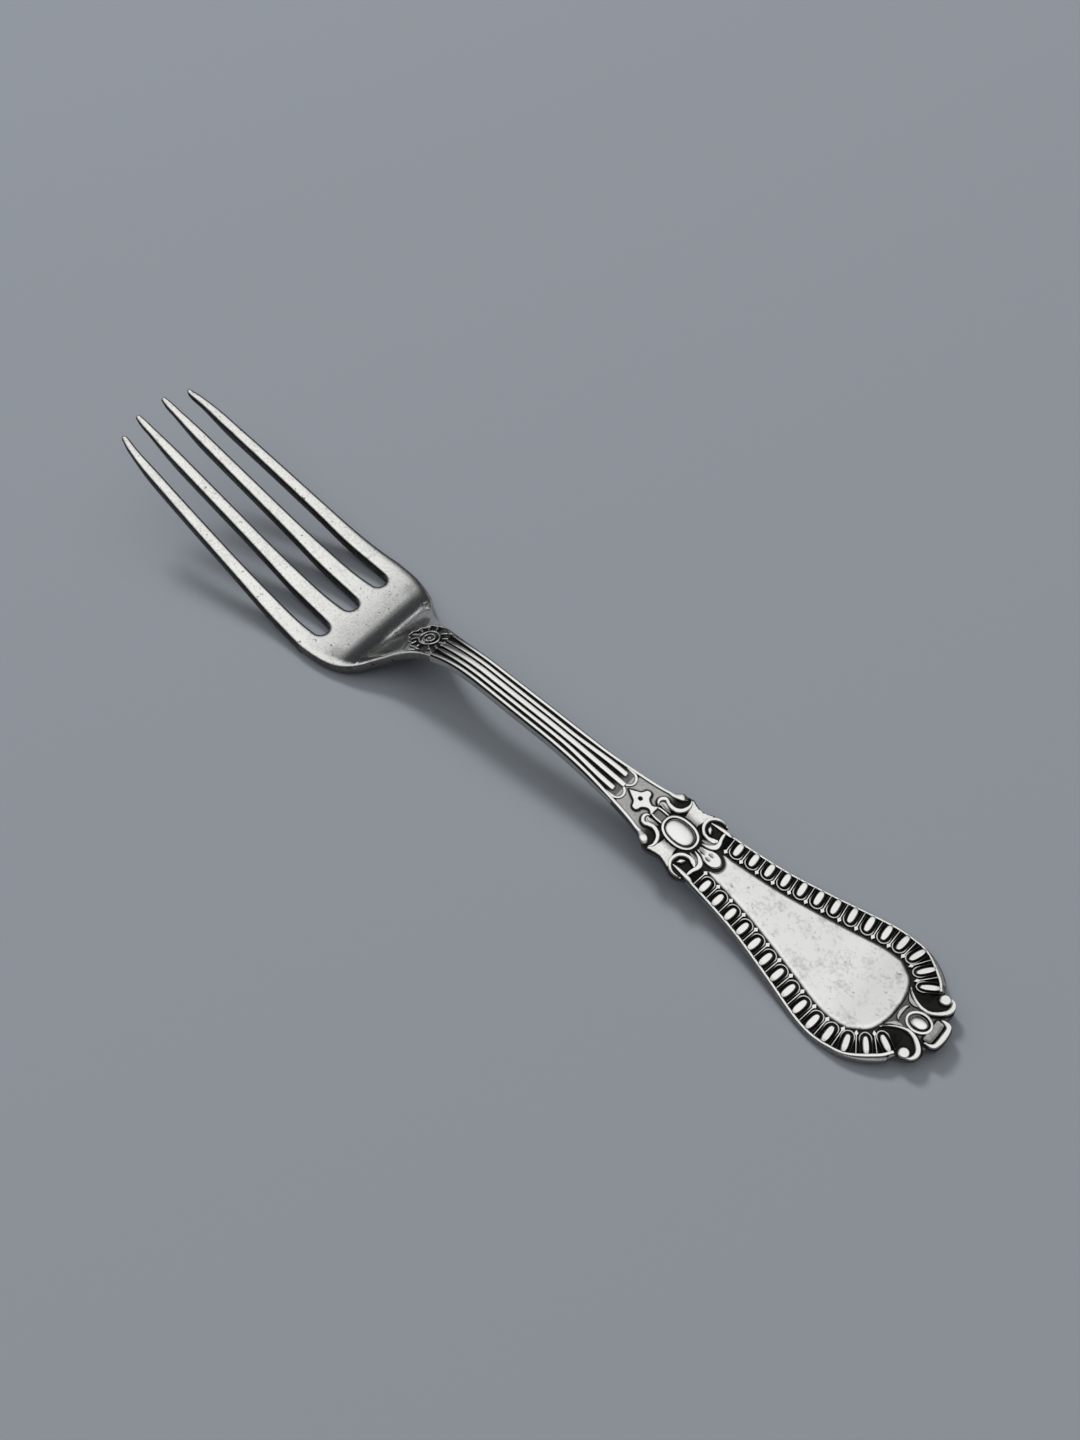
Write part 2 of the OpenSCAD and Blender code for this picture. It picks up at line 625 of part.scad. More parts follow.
// Spade-shaped fleur with two barbs, and two arms that join it to the oval
module fleur() {
    half = fleur_width / 2;
    x_barb = between(x_fleur_tip, x_fleur_root, 0.55);
    side = [[0.2, 0.28], [0.405, 0.62], [0.477, 0.97], [0.606, 1], [0.67, 0.62], [0.8, 0.24], [1, 0.4]];
    edge = [for (s = side) [between(x_fleur_tip, x_fleur_root, s[0]), s[1] * half]];
    shape = concat([[x_fleur_tip, 0]], edge, [for (i = [len(edge) - 1 : -1 : 0]) [edge[i][0], -edge[i][1]]]);
    arm = [[x_fleur_root - seam, 0.38 * half], [x_fleur_root - arm_length / 2, 0.51 * half],
        [x_ring_front - seam, 0.49 * half]];
    color(bright) {
        mound(shape, [x_barb, 0], relief, crisp_mound);
        both_sides() ridge(arm, ring_width * [0.56, 0.44, 0.36], 0.8 * relief, round_profile);
    }
}

// C-scrolls with a rounded leaf at the fleur's end, curling round the threads' knobs
module upper_scrolls() {
    center = [x_ring_front + seam, upper_lug_width / 2 - upper_curl - thread_width / 2];
    path = arc(center, upper_curl, 295, 155, 14);
    head = center + upper_curl * [1.18, -1.15];
    color(bright) both_sides() {
        ridge(path, [for (u = spread(0, 1, 14)) scroll_width / 2 * (1 - 0.63 * u)], relief, round_profile);
        mound(oval(head, 0.9 * scroll_width, 1.37 * scroll_width, 14), head, relief, soft_mound);
    }
}

// Oval boss in its ring, in the middle of the collar
function ring_half(size) = size / 2 - ring_width / 2;
function boss_half(size) = size / 2 - ring_width - ring_groove;
module oval_ring() {
    path = oval([x_oval, 0], ring_half(oval_length), ring_half(oval_width), 36);
    color(bright) ridge_loop(path, ring_width / 2, relief, round_profile);
}
module oval_boss() {
    color(bright) mound(oval([x_oval, 0], boss_half(oval_length), boss_half(oval_width), 28), [x_oval, 0],
        1.5 * relief, soft_mound);
}

// Plain dished straps between the upper and lower scrolls
module side_straps() {
    y0 = oval_width / 2 + ring_groove;
    y1 = collar_waist_width / 2 - top_round;
    path = [for (y = spread(y0, y1, 4)) [x_oval, y]];
    halves = strap_length * swell(0.5, 0.44, 0.6, 4);
    color(satin) both_sides() ridge(path, halves, 0.7 * relief, flat_profile);
}

// C-scrolls that curl round the start of the rim, each with a small bead
module lower_scrolls() {
    half = scroll_width / 2;
    center = [x_oval - oval_length / 2 - half, lower_lug_width / 2 - lower_curl - half];
    path = arc(center, lower_curl, 118, -132, 18);
    bead = center + lower_curl * [0.245, -0.4];
    color(bright) both_sides() {
        ridge(path, [for (u = spread(0, 1, 18)) half * (0.55 + 0.45 * u)], relief, round_profile);
        mound(oval(bead, 0.75 * half, 1.25 * half, 10), bead, 0.8 * relief, crisp_mound);
    }
}

// Rounded petal that laps from the oval onto the panel
x_petal = x_oval - oval_length / 2 - petal_gap;
x_petal_tip = x_petal - petal_length;
module petal() {
    half = petal_width / 2;
    x_broad = between(x_petal, x_petal_tip, 0.64);
    x_flank = between(x_petal, x_petal_tip, 0.32);
    tip = [for (a = spread(105, 255, 8)) [x_broad + (x_broad - x_petal_tip) * cos(a), half * sin(a)]];
    shape = concat([[x_petal, -0.22 * half], [x_petal, 0.22 * half], [x_flank, 0.72 * half]], tip,
        [[x_flank, -0.72 * half]]);
    color(bright) mound(shape, [between(x_petal, x_petal_tip, 0.58), 0], 1.2 * relief, soft_mound);
}

// Leaves that close the border beside the petal
module border_stops() {
    y0 = petal_width / 2 + petal_gap;
    y1 = outline(x_blade) - rim_width - field_gap;
    path = [for (y = spread(y0, y1, 5)) [x_blade + seam, y]];
    color(bright) both_sides() ridge(path, scroll_width * swell(0.25, 0.52, 0.38, 5), relief, round_profile);
}

// Raised rim along the blade's edge, from inside the lower scrolls to the end beads
module handle_rim() {
    inset = rim_width / 2 + edge_land;
    y_lead = outline(x_blade) - inset;
    lead = [for (x = spread(x_blade + rim_lead, x_blade, 4)) [x, y_lead - 0.1 * (x - x_blade)]];
    side = [for (x = spread(x_blade, x_wide, 18)) if (x < x_blade) border_point(x, inset)];
    end = [for (x = spread(x_wide, x_plate - rim_lap, 18)) if (x < x_wide) border_point(x, inset)];
    path = concat(lead, side, end);
    color(bright) both_sides() ridge([for (i = [len(path) - 1 : -1 : 0]) path[i]], even(rim_width / 2, path),
        1.1 * relief, round_profile);
}

// Eggs: tongues that are open to the rim and round at their inner ends
function egg_shape(x, half, reach) = concat(
    [border_local(x, rim_clear, -half), border_local(x, rim_clear, half)],
    [for (a = spread(90, -90, 6)) border_local(x, reach - half + half * cos(a), half * sin(a))]);
function egg_x(i) = border_x((i + 0.5) * border_length / egg_count);
module egg_border() {
    color(bright) both_sides() for (i = [0 : egg_count - 1]) {
        x = egg_x(i);
        reach = egg_reach(x) - egg_gap - egg_line;
        mound(egg_shape(x, egg_width / 2, reach), border_local(x, reach / 2, 0), relief, crisp_mound);
    }
}

// Raised line round each egg
module egg_outlines() {
    half = egg_width / 2 + egg_gap + egg_line / 2;
    color(satin) both_sides() for (i = [0 : egg_count - 1]) {
        x = egg_x(i);
        reach = egg_reach(x) - egg_line / 2;
        path = concat([border_local(x, rim_clear, -half)],
            [for (a = spread(-90, 90, 6)) border_local(x, reach - half + half * cos(a), half * sin(a))],
            [border_local(x, rim_clear, half)]);
        ridge(path, even(egg_line / 2, path), 0.8 * relief, line_profile);
    }
}

// Darts between the eggs, each with a spear point at its inner end
module dart_border() {
    half = dart_width / 2;
    color(satin) both_sides() for (i = [0 : egg_count]) {
        x = border_x(i * border_length / egg_count);
        reach = border_width(x) - rim_width;
        barb = reach - spear_length / 2;
        side = [[rim_clear, half], [reach - spear_length, half], [barb, spear_width / 2]];
        shape = concat([for (p = side) border_local(x, p[0], p[1])], [border_local(x, reach, 0)],
            [for (k = [2 : -1 : 0]) border_local(x, side[k][0], -side[k][1])]);
        mound(shape, border_local(x, barb, 0), 0.9 * relief, crisp_mound);
    }
}

// Plain, softly domed field of the panel
x_field = x_petal_tip - field_gap;
x_field_end = x_plate + field_from_end;
function field_half(x) = let (p = border_point(x, border_width(x) + field_gap)) p[1];
module panel_field() {
    n = 24;
    path = [for (x = spread(x_field_end, x_field, n)) [x, 0]];
    halves = [for (i = [0 : n]) let (x = path[i][0]) field_half(x) * (i == 0 ? 0.62 : i == 1 ? 0.9 : 1)];
    color(bright) ridge(path, halves, 0.8 * relief, field_profile);
}

// C-scrolls at the handle's end, each with a tail along the border and a bead at the rim's end
module end_scrolls() {
    center = [between(x_end, x_plate, 0.74), end_scroll_width / 2 - end_curl - 0.375 * scroll_width];
    tail_center = center + [0.85 * end_curl, tail_bend - 1.05 * end_curl];
    path = concat(arc(tail_center, tail_bend, 318, 272, 8), arc(center, end_curl, 262, 118, 14));
    bead = center + end_curl * [-0.05, 0.51];
    color(bright) both_sides() {
        ridge(path, scroll_width * swell(0.19, 0.5, 0.35, len(path) - 1), relief, round_profile);
        mound(oval(bead, bead_diameter / 2, bead_diameter / 2, 14), bead, 1.2 * relief, soft_mound);
    }
}

// Leaves and lobe between the end scrolls and the panel
module end_brackets() {
    half = [end_oval_length, end_oval_width] / 2;
    front = [x_end_oval + half[0], 0];
    lobe = front + [0.37 * half[0], 0];
    line = [[0.2, 0.98], [0.47, 1.12], [0.71, 1.4], [0.82, 1.77]];
    leaf = [for (s = line) front + [s[0] * half[0], s[1] * half[1]]];
    color(satin) {
        mound(oval(lobe, 0.25 * half[0], 0.7 * half[1], 14), lobe, 0.8 * relief, soft_mound);
        both_sides() ridge(leaf, ring_width * [0.6, 0.56, 0.44, 0.24], 0.6 * relief, round_profile);
    }
}

// Small oval boss in its ring at the handle's end
module end_ring() {
    path = oval([x_end_oval, 0], ring_half(end_oval_length), ring_half(end_oval_width), 28);
    color(bright) ridge_loop(path, ring_width / 2, relief, round_profile);
}
module end_boss() {
    color(bright) mound(oval([x_end_oval, 0], boss_half(end_oval_length), boss_half(end_oval_width), 22),
        [x_end_oval, 0], 1.4 * relief, soft_mound);
}

// Raised lip round the end tab
module end_tab() {
    inset = tab_lip / 2 + edge_land;
    half = tab_width / 2 - inset;
    x_root = x_tab + tab_lip;
    x_turn = x_end + inset + tab_round;
    path = concat([[x_root, -half]], arc([x_turn, tab_round - half], tab_round, 270, 180, 4),
        arc([x_turn, half - tab_round], tab_round, 180, 90, 4), [[x_root, half]]);
    color(bright) ridge(path, even(tab_lip / 2, path), 0.9 * relief, round_profile);
}

outer_left_tine();
inner_left_tine();
inner_right_tine();
outer_right_tine();
tine_root();
neck();
stem();
collar();
handle_blade();
end_plate();
neck_rosette();
edge_threads();
stem_reeds();
center_band();
fleur();
upper_scrolls();
oval_ring();
oval_boss();
side_straps();
lower_scrolls();
petal();
border_stops();
handle_rim();
egg_border();
egg_outlines();
dart_border();
panel_field();
end_scrolls();
end_brackets();
end_ring();
end_boss();
end_tab();
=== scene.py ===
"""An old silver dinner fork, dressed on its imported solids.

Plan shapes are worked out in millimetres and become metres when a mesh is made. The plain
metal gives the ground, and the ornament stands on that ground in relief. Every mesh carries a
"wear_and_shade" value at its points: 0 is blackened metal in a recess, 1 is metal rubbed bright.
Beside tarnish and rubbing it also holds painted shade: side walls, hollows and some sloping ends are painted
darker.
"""

import logging
import math
from dataclasses import dataclass, field
from enum import Enum
from typing import Callable, Optional, Sequence

import bpy
import numpy as np
from mathutils import Matrix, Vector
from mathutils.geometry import delaunay_2d_cdt


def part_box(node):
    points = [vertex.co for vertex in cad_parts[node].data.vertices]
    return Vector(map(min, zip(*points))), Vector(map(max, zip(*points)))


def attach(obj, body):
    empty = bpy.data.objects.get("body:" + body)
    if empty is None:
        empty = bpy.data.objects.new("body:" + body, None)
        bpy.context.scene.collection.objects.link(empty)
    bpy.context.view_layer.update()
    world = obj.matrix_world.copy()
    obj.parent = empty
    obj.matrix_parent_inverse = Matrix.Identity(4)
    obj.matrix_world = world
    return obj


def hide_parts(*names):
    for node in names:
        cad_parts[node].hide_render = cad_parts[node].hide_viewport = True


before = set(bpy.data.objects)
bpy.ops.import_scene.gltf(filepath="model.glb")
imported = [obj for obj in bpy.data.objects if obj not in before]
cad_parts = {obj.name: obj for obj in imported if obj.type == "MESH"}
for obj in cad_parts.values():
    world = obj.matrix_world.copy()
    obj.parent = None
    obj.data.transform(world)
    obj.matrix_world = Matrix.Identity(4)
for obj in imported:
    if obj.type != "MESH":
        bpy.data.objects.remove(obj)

Array = np.ndarray
HeightRule = Callable[[Array, Array], Array]  # a value from plan points and their distances from the edge
Socket = bpy.types.NodeSocket
Span = tuple[float, float]
Lines = Sequence[tuple[Array, bool]]  # points of each line, and whether it is closed

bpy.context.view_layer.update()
LOG = logging.getLogger("fork")

MM = 0.001  # metres in a millimetre
SINK = 0.14  # how far relief reaches down into the ground, mm
BODY = "root"  # the one body of a part without joints
SHARP_EDGE = math.radians(48.0)  # a fold above this angle shades as a crisp edge
CHUNK = 1500  # points handled at once where every point meets every edge
PREFIX = "silver_"  # stands before the node's name in the name of its piece
FINE, CLOSE, WIDE = 0.1, 0.12, 0.13  # distance between points of small, middling and large ornament, mm
# Distances from the web's rounded edges at which rows of points follow them, mm
WEB_INSETS = (0.04, 0.12, 0.25, 0.45, 0.75, 1.15, 1.6, 2.0)


class Slot(Enum):
    """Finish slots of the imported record."""

    POLISHED = "polished_silver"
    SATIN = "satin_silver"
    OXIDISED = "oxidised_silver"


class Crown(Enum):
    """How the top of a raised form is shaped between its edges."""

    ROUND = "round"
    FLAT = "flat"
    CUSHION = "cushion"


def ease(low: float, high: float, value: Array) -> Array:
    """Smooth step from 0 to 1.

    Args:
        low: value at which the step starts.
        high: value at which the step ends.
        value: where to read the step.

    Returns:
        The step's height, 0 to 1.
    """
    t = np.clip((np.asarray(value, float) - low) / (high - low), 0.0, 1.0)
    return t * t * (3.0 - 2.0 * t)


def arc(
    center: Sequence[float], radius: Sequence[float], start: float, stop: float, count: int = 48
) -> Array:
    """Points of an oval arc.

    Args:
        center: middle of the oval, mm.
        radius: half axes along x and y, mm.
        start: first angle in degrees.
        stop: last angle in degrees.
        count: number of points.

    Returns:
        The points, one row each.
    """
    turn = np.radians(np.linspace(start, stop, count))
    x, y = center[0] + radius[0] * np.cos(turn), center[1] + radius[1] * np.sin(turn)
    return np.column_stack([x, y])


def oval(center: Sequence[float], radius: Sequence[float], count: int = 72, blunt: float = 2.0) -> Array:
    """A closed oval, counter-clockwise.

    Args:
        center: middle of the oval, mm.
        radius: half axes along x and y, mm.
        count: number of points.
        blunt: 2 is an ellipse, and more is fuller at the shoulders.

    Returns:
        The points, one row each.
    """
    ring = arc((0.0, 0.0), (1.0, 1.0), 0.0, 360.0 * (count - 1) / count, count)
    return np.asarray(center) + np.sign(ring) * np.abs(ring) ** (2.0 / blunt) * radius


def flow(keys: Sequence[Sequence[float]], closed: bool = False, count: int = 10) -> Array:
    """A smooth curve through key points; extra columns, such as a half width, flow with it.

    Args:
        keys: the points that the curve passes through.
        closed: whether it runs back to its first point.
        count: points made for each span.

    Returns:
        The points, one row each.
    """
    p = np.asarray(keys, float)
    ends = (p[-1:], p[:2]) if closed else (2 * p[:1] - p[1:2], 2 * p[-1:] - p[-2:-1])
    p = np.vstack([ends[0], p, ends[1]])
    t = np.linspace(0.0, 1.0, count, endpoint=False)[:, None]
    spans = [
        0.5 * (2 * b + (c - a) * t + (2 * a - 5 * b + 4 * c - d) * t**2 + (3 * b - a - 3 * c + d) * t**3)
        for a, b, c, d in zip(p, p[1:], p[2:], p[3:])
    ]
    return np.vstack(spans) if closed else np.vstack(spans + [p[-2:-1]])


def paced(line: Array, step: float, closed: bool = False) -> Array:
    """The same line with even steps.

    Args:
        line: points, with any extra columns.
        step: wanted distance between points, mm.
        closed: whether the line runs back to its first point.

    Returns:
        The new points, one row each.
    """
    p = np.vstack([line, line[:1]]) if closed else np.asarray(line, float)
    run = np.concatenate([[0.0], np.cumsum(np.linalg.norm(np.diff(p[:, :2], axis=0), axis=1))])
    at = np.linspace(0.0, run[-1], max(int(round(run[-1] / step)), 3) + 1)
    rows = np.column_stack([np.interp(at, run, column) for column in p.T])
    return rows[:-1] if closed else rows


def leftward(line: Array) -> Array:
    """Unit normals to the left of an open line.

    Args:
        line: points, with any extra columns.

    Returns:
        One normal for each point.
    """
    t = np.gradient(line[:, :2], axis=0)
    t /= np.linalg.norm(t, axis=1)[:, None]
    return np.column_stack([-t[:, 1], t[:, 0]])


def ribbon(line: Array, step: float) -> Array:
    """Outline of a ribbon with round ends.

    Args:
        line: rows of x, y and half width, mm.
        step: distance between outline points, mm.

    Returns:
        The outline, counter-clockwise.
    """
    row = paced(line, step)
    side = leftward(row) * row[:, 2:3]
    first, last = (math.degrees(math.atan2(-n[0], n[1])) for n in (side[0], side[-1]))
    end = arc(row[-1], [row[-1, 2]] * 2, last - 90.0, last + 90.0, 9)
    start = arc(row[0], [row[0, 2]] * 2, first + 90.0, first + 270.0, 9)
    return np.vstack([row[:-1, :2] - side[:-1], end, (row[:-1, :2] + side[:-1])[::-1], start[1:-1]])


def twin(keys: Sequence[Sequence[float]], count: int = 10) -> Array:
    """Closed outline that is the same on both sides of the fork's middle.

    Args:
        keys: points of the +y half, from the tine end to the handle end.
        count: points made for each span.

    Returns:
        The outline, counter-clockwise.
    """
    half = flow(keys, count=count)
    other = half[::-1] * [1.0, -1.0]
    keep = np.abs(other[:, 1]) > 1e-6
    return np.vstack([half, other[keep]])


def fall(edge: Array, width: Array, depth: float = math.inf) -> Array:
    """Drop of a face that is rounded towards its edge.

    Args:
        edge: distance from the edge, mm.
        width: how wide the rounding is, mm.
        depth: how deep it is at most, mm; no deeper than it is wide.

    Returns:
        How far the face lies below its level, mm.
    """
    lack = 1.0 - np.clip(edge / width, 0.0, 1.0)
    return np.minimum(width, depth) * (1.0 - np.sqrt(1.0 - lack**2))


def mirrored(outline: Array) -> Array:
    """The outline on the other side of the middle, still counter-clockwise."""
    return outline[::-1] * [1.0, -1.0]


def even(points: Array, half: float) -> Array:
    """Plan points with the same half width for all, mm."""
    return np.column_stack([points, np.full(len(points), half)])


def pair(line: Array) -> list[tuple[Array, bool]]:
    """An open line of x, y and half width, and its twin on the other side."""
    return [(line, False), (line * [1.0, -1.0, 1.0], False)]


def chunks(points: Array) -> list[Array]:
    """Points in parts that are small enough to be handled at once."""
    return np.array_split(points, max(len(points) // CHUNK, 1))


def link(name: str, data: bpy.types.ID) -> bpy.types.Object:
    """Puts a new object into the scene.

    Args:
        name: its name.
        data: its mesh, camera or light.

    Returns:
        The object, at the origin.
    """
    made = bpy.data.objects.new(name, data)
    bpy.context.scene.collection.objects.link(made)
    return made


@dataclass
class Track:
    """A value that runs smoothly along the fork, through stations read from the frame."""

    x: Array
    y: Array

    def __post_init__(self) -> None:
        """Works out the slope at each station, level at peaks and flats."""
        rise = np.diff(self.y) / np.diff(self.x)
        self.slope = np.gradient(self.y, self.x)
        self.slope[1:-1][rise[1:] * rise[:-1] <= 0.0] = 0.0

    def __call__(self, at: Array) -> Array:
        """Reads the value.

        Args:
            at: places along the fork, mm.

        Returns:
            The value at each place, mm.
        """
        at = np.clip(np.asarray(at, float), self.x[0], self.x[-1])
        i = np.clip(np.searchsorted(self.x, at) - 1, 0, len(self.x) - 2)
        span = self.x[i + 1] - self.x[i]
        t = (at - self.x[i]) / span
        lead = self.y[i] * (1 + 2 * t) * (1 - t) ** 2 + self.y[i + 1] * t * t * (3 - 2 * t)
        return lead + span * t * (1 - t) * (self.slope[i] * (1 - t) - self.slope[i + 1] * t)


def stations(node: str, least_half: float = -math.inf) -> Array:
    """Cross sections of a packed plate.

    Args:
        node: name of the plate.
        least_half: sections narrower than this are cuts inside the plate, mm.

    Returns:
        Rows of x, lowest y, highest y, lowest z and highest z, mm, by x.
    """
    thin = 0.6  # a level cut has no height, a true section has at least this
    points = np.array([v.co[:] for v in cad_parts[node].data.vertices]) / MM
    key = np.round(points[:, 0], 3)
    rows = []
    for x in np.unique(key):
        ring = points[key == x]
        if np.ptp(ring[:, 2]) > thin and ring[:, 1].max() > least_half:
            rows.append([x, ring[:, 1].min(), ring[:, 1].max(), ring[:, 2].min(), ring[:, 2].max()])
    return np.array(rows)


@dataclass
class Form:
    """The plain metal of the fork, read from the frame."""

    plates: tuple[str, ...] = ("end_plate", "handle_blade", "collar", "stem", "neck", "tine_root")
    root_half: float = 11.0  # the web is at least this wide to each side, mm
    under_round: float = 0.42  # share of the thickness that rounds the lower edges
    top_round: float = 0.35  # radius along the upper edges, mm
    slot_round: float = 0.8  # width of the rounding along the slots and tines, mm
    slot_drop: float = 0.48  # its depth, mm
    web_round: float = 1.9  # width of the rounding along the web's outer upper edges, mm
    web_drop: Span = (1.05, 0.45)  # its depth on the neck and on the web, mm
    neck_span: Span = (18.0, 31.0)  # where that rounding grows, mm along the fork
    tine_span: Span = (44.0, 66.0)  # where it shrinks again
    tine_loss: float = 0.75  # how much of it is lost there
    heel_span: Span = (34.0, 41.0)  # where its depth changes
    slot_span: Span = (31.0, 36.0)  # where the slots' rounding begins
    flank: float = 0.6  # how far the handle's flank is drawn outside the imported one, mm
    flank_spans: tuple[Span, Span] = ((-47.0, -60.0), (-66.0, -81.0))  # where that grows and where it ends
    shoulder: float = 0.3  # the same for its shoulder near the end, mm
    shoulder_spans: tuple[Span, Span] = ((-86.0, -90.0), (-95.0, -97.5))  # where that grows and ends
    reading: float = 0.05  # reach to each side over which the edge's slope is read, mm

    def __post_init__(self) -> None:
        """Joins the plates' sections into smooth tracks."""
        rows = np.vstack([stations(p, self.root_half if p == "tine_root" else 0.0) for p in self.plates])
        _, first = np.unique(np.round(rows[:, 0], 2), return_index=True)
        rows = rows[first]
        self.half = Track(rows[:, 0], rows[:, 2] + self.fuller(rows[:, 0]))
        self.under = Track(rows[:, 0], rows[:, 3])
        self.top = Track(rows[:, 0], rows[:, 4])

    def fuller(self, x: Array) -> Array:
        """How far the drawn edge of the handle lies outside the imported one, mm."""
        parts = ((self.flank, *self.flank_spans), (self.shoulder, *self.shoulder_spans))
        return sum(size * ease(*grow, x) * (1.0 - ease(*end, x)) for size, grow, end in parts)

    def rounding(self, x: Array) -> Array:
        """Width of the outer upper edge's rounding, full on the web, mm."""
        grown = ease(*self.neck_span, x) * (1.0 - self.tine_loss * ease(*self.tine_span, x))
        return self.top_round + (self.web_round - self.top_round) * grown

    def drop(self, x: Array) -> Array:
        """Depth of that rounding, mm."""
        return self.web_drop[0] + (self.web_drop[1] - self.web_drop[0]) * ease(*self.heel_span, x)

    def slope(self, x: Array) -> Array:
        """Slope of the +y edge in plan."""
        return (self.half(x + self.reading) - self.half(x - self.reading)) / (2.0 * self.reading)

    def upper(self, points: Array, edge: Array) -> Array:
        """Height of the rounded upper face.

        Args:
            points: plan points, mm.
            edge: distance of each from the free edge, mm.

        Returns:
            The height of each, mm.
        """
        x, y = points.T
        outer = np.where(x > 0.0, (self.half(x) - np.abs(y)) / np.sqrt(1.0 + self.slope(x) ** 2), edge)
        inner = self.top_round + (self.slot_round - self.top_round) * ease(*self.slot_span, x)
        slot = np.where(x > self.slot_span[1], self.slot_drop, self.top_round)
        lost = np.maximum(fall(outer, self.rounding(x), self.drop(x)), fall(edge, inner, slot))
        return self.top(x) - lost

    def lower(self, points: Array, edge: Array) -> Array:
        """Height of the rounded lower face.

        Args:
            points: plan points, mm.
            edge: distance of each from the free edge, mm.

        Returns:
            The height of each, mm.
        """
        floor, ceiling = self.under(points[:, 0]), self.top(points[:, 0])
        return np.maximum(floor, 0.0) + fall(edge, self.under_round * (ceiling - floor))

    def sheet(self, start: float, stop: float) -> bpy.types.Object:
        """A guide in the shape of the ground, which ornament is laid on.

        Args:
            start: its first place along the fork, mm.
            stop: its last place, mm.

        Returns:
            The guide, which is not part of the fork.
        """
        reach, count = 18.0, 221  # to each side of the middle, mm, and rows along the fork
        x = np.linspace(start, stop, count)
        rows = np.array([[(a, y, float(self.top(a))) for y in (-reach, reach)] for a in x]).reshape(-1, 3)
        faces = [(i, i + 2, i + 3, i + 1) for i in range(0, len(rows) - 2, 2)]
        mesh = bpy.data.meshes.new("ground_sheet")
        mesh.from_pydata((rows * MM).tolist(), [], faces)
        return link("ground_sheet", mesh)

    def side(self, start: float, stop: float, step: float) -> Array:
        """The +y edge between two places along the fork, as plan points."""
        x = np.linspace(start, stop, max(int(abs(stop - start) / step), 2) + 1)
        return np.column_stack([x, self.half(x)])


@dataclass
class Plan:
    """A closed outline in plan, counter-clockwise, some edges of which butt against a neighbour."""

    outline: Array
    joined: Sequence[float] = ()  # places along the fork where the outline meets a neighbour

    def __post_init__(self) -> None:
        """Marks the edges that stand free."""
        ahead = np.roll(self.outline, -1, axis=0)
        self.edges = np.stack([self.outline, ahead], axis=1)
        self.free = np.ones(len(self.outline), bool)
        for place in self.joined:
            self.free &= ~np.all(np.abs(self.edges[:, :, 0] - place) < 1e-4, axis=1)

    def distance(self, points: Array, free_only: bool = True) -> Array:
        """Distance from the outline.

        Args:
            points: plan points, mm.
            free_only: whether edges that meet a neighbour are left out.

        Returns:
            The distance of each point, mm.
        """
        edges = self.edges[self.free] if free_only else self.edges
        a, span = edges[:, 0], edges[:, 1] - edges[:, 0]
        size = np.maximum(np.sum(span**2, axis=1), 1e-12)
        out = []
        for part in chunks(points):
            off = part[:, None, :] - a[None]
            t = np.clip(np.sum(off * span, axis=2) / size, 0.0, 1.0)
            out.append(np.sqrt(np.min(np.sum((off - t[..., None] * span) ** 2, axis=2), axis=1)))
        return np.concatenate(out)

    def holds(self, points: Array) -> Array:
        """Tells which points lie inside the outline.

        Args:
            points: plan points, mm.

        Returns:
            True for each point inside.
        """
        a, b = self.edges[:, 0], self.edges[:, 1]
        rise = np.where(np.abs(b[:, 1] - a[:, 1]) < 1e-12, 1e-12, b[:, 1] - a[:, 1])
        out = []
        for part in chunks(points):
            x, y = part[:, :1], part[:, 1:]
            spans = (a[:, 1] > y) != (b[:, 1] > y)
            cross = a[:, 0] + (y - a[:, 1]) * (b[:, 0] - a[:, 0]) / rise
            out.append(np.sum(spans & (x < cross), axis=1) % 2 == 1)
        return np.concatenate(out)

    def filled(self, step: float, insets: Sequence[float]) -> tuple[Array, Array]:
        """Fills the outline with triangles.

        Args:
            step: distance between inner points, mm.
            insets: distances from the free edge at which a row of points follows it, mm.

        Returns:
            The points and the triangles.
        """
        low, high = self.outline.min(axis=0), self.outline.max(axis=0)
        rows = np.arange(low[1] + 0.5 * step, high[1], step * math.sqrt(0.75))
        cells = np.arange(low[0] + 0.25 * step, high[0], step)
        grid = np.array([[x + 0.5 * step * (i % 2), y] for i, y in enumerate(rows) for x in cells])
        grid = grid.reshape(-1, 2)
        inner, clear = max(insets, default=0.0), 0.45 * step
        if len(grid):
            grid = grid[self.holds(grid)]
        if len(grid):
            near = self.distance(grid) > inner + clear
            grid = grid[near & (self.distance(grid, free_only=False) > clear)]
        edge = self.edges[:, 1] - self.edges[:, 0]
        normal = np.column_stack([-edge[:, 1], edge[:, 0]]) / np.linalg.norm(edge, axis=1)[:, None]
        normal = normal + np.roll(normal, 1, axis=0)
        normal /= np.maximum(np.linalg.norm(normal, axis=1)[:, None], 1e-9)
        corner = self.free & np.roll(self.free, 1)
        points, true_share = [self.outline], 0.93  # a row's point that is nearer another edge is left out
        for inset in insets:
            ring = (self.outline + normal * inset)[corner]
            ring = ring[self.holds(ring)]
            if len(ring):
                points.append(ring[self.distance(ring, free_only=False) > true_share * inset])
        points.append(grid)
        coords = [Vector(p) for p in np.vstack(points)]
        made = delaunay_2d_cdt(coords, [], [list(range(len(self.outline)))], 0, 1e-5, False)
        flat = np.array([v[:] for v in made[0]])
        faces = np.array(made[2])
        faces = faces[self.holds(flat[faces].mean(axis=1))]  # the fill also spans hollows of the outline
        ab, ac = flat[faces[:, 1]] - flat[faces[:, 0]], flat[faces[:, 2]] - flat[faces[:, 0]]
        turned = ab[:, 0] * ac[:, 1] - ab[:, 1] * ac[:, 0] < 0.0
        faces[turned] = faces[turned][:, ::-1]
        return flat, faces


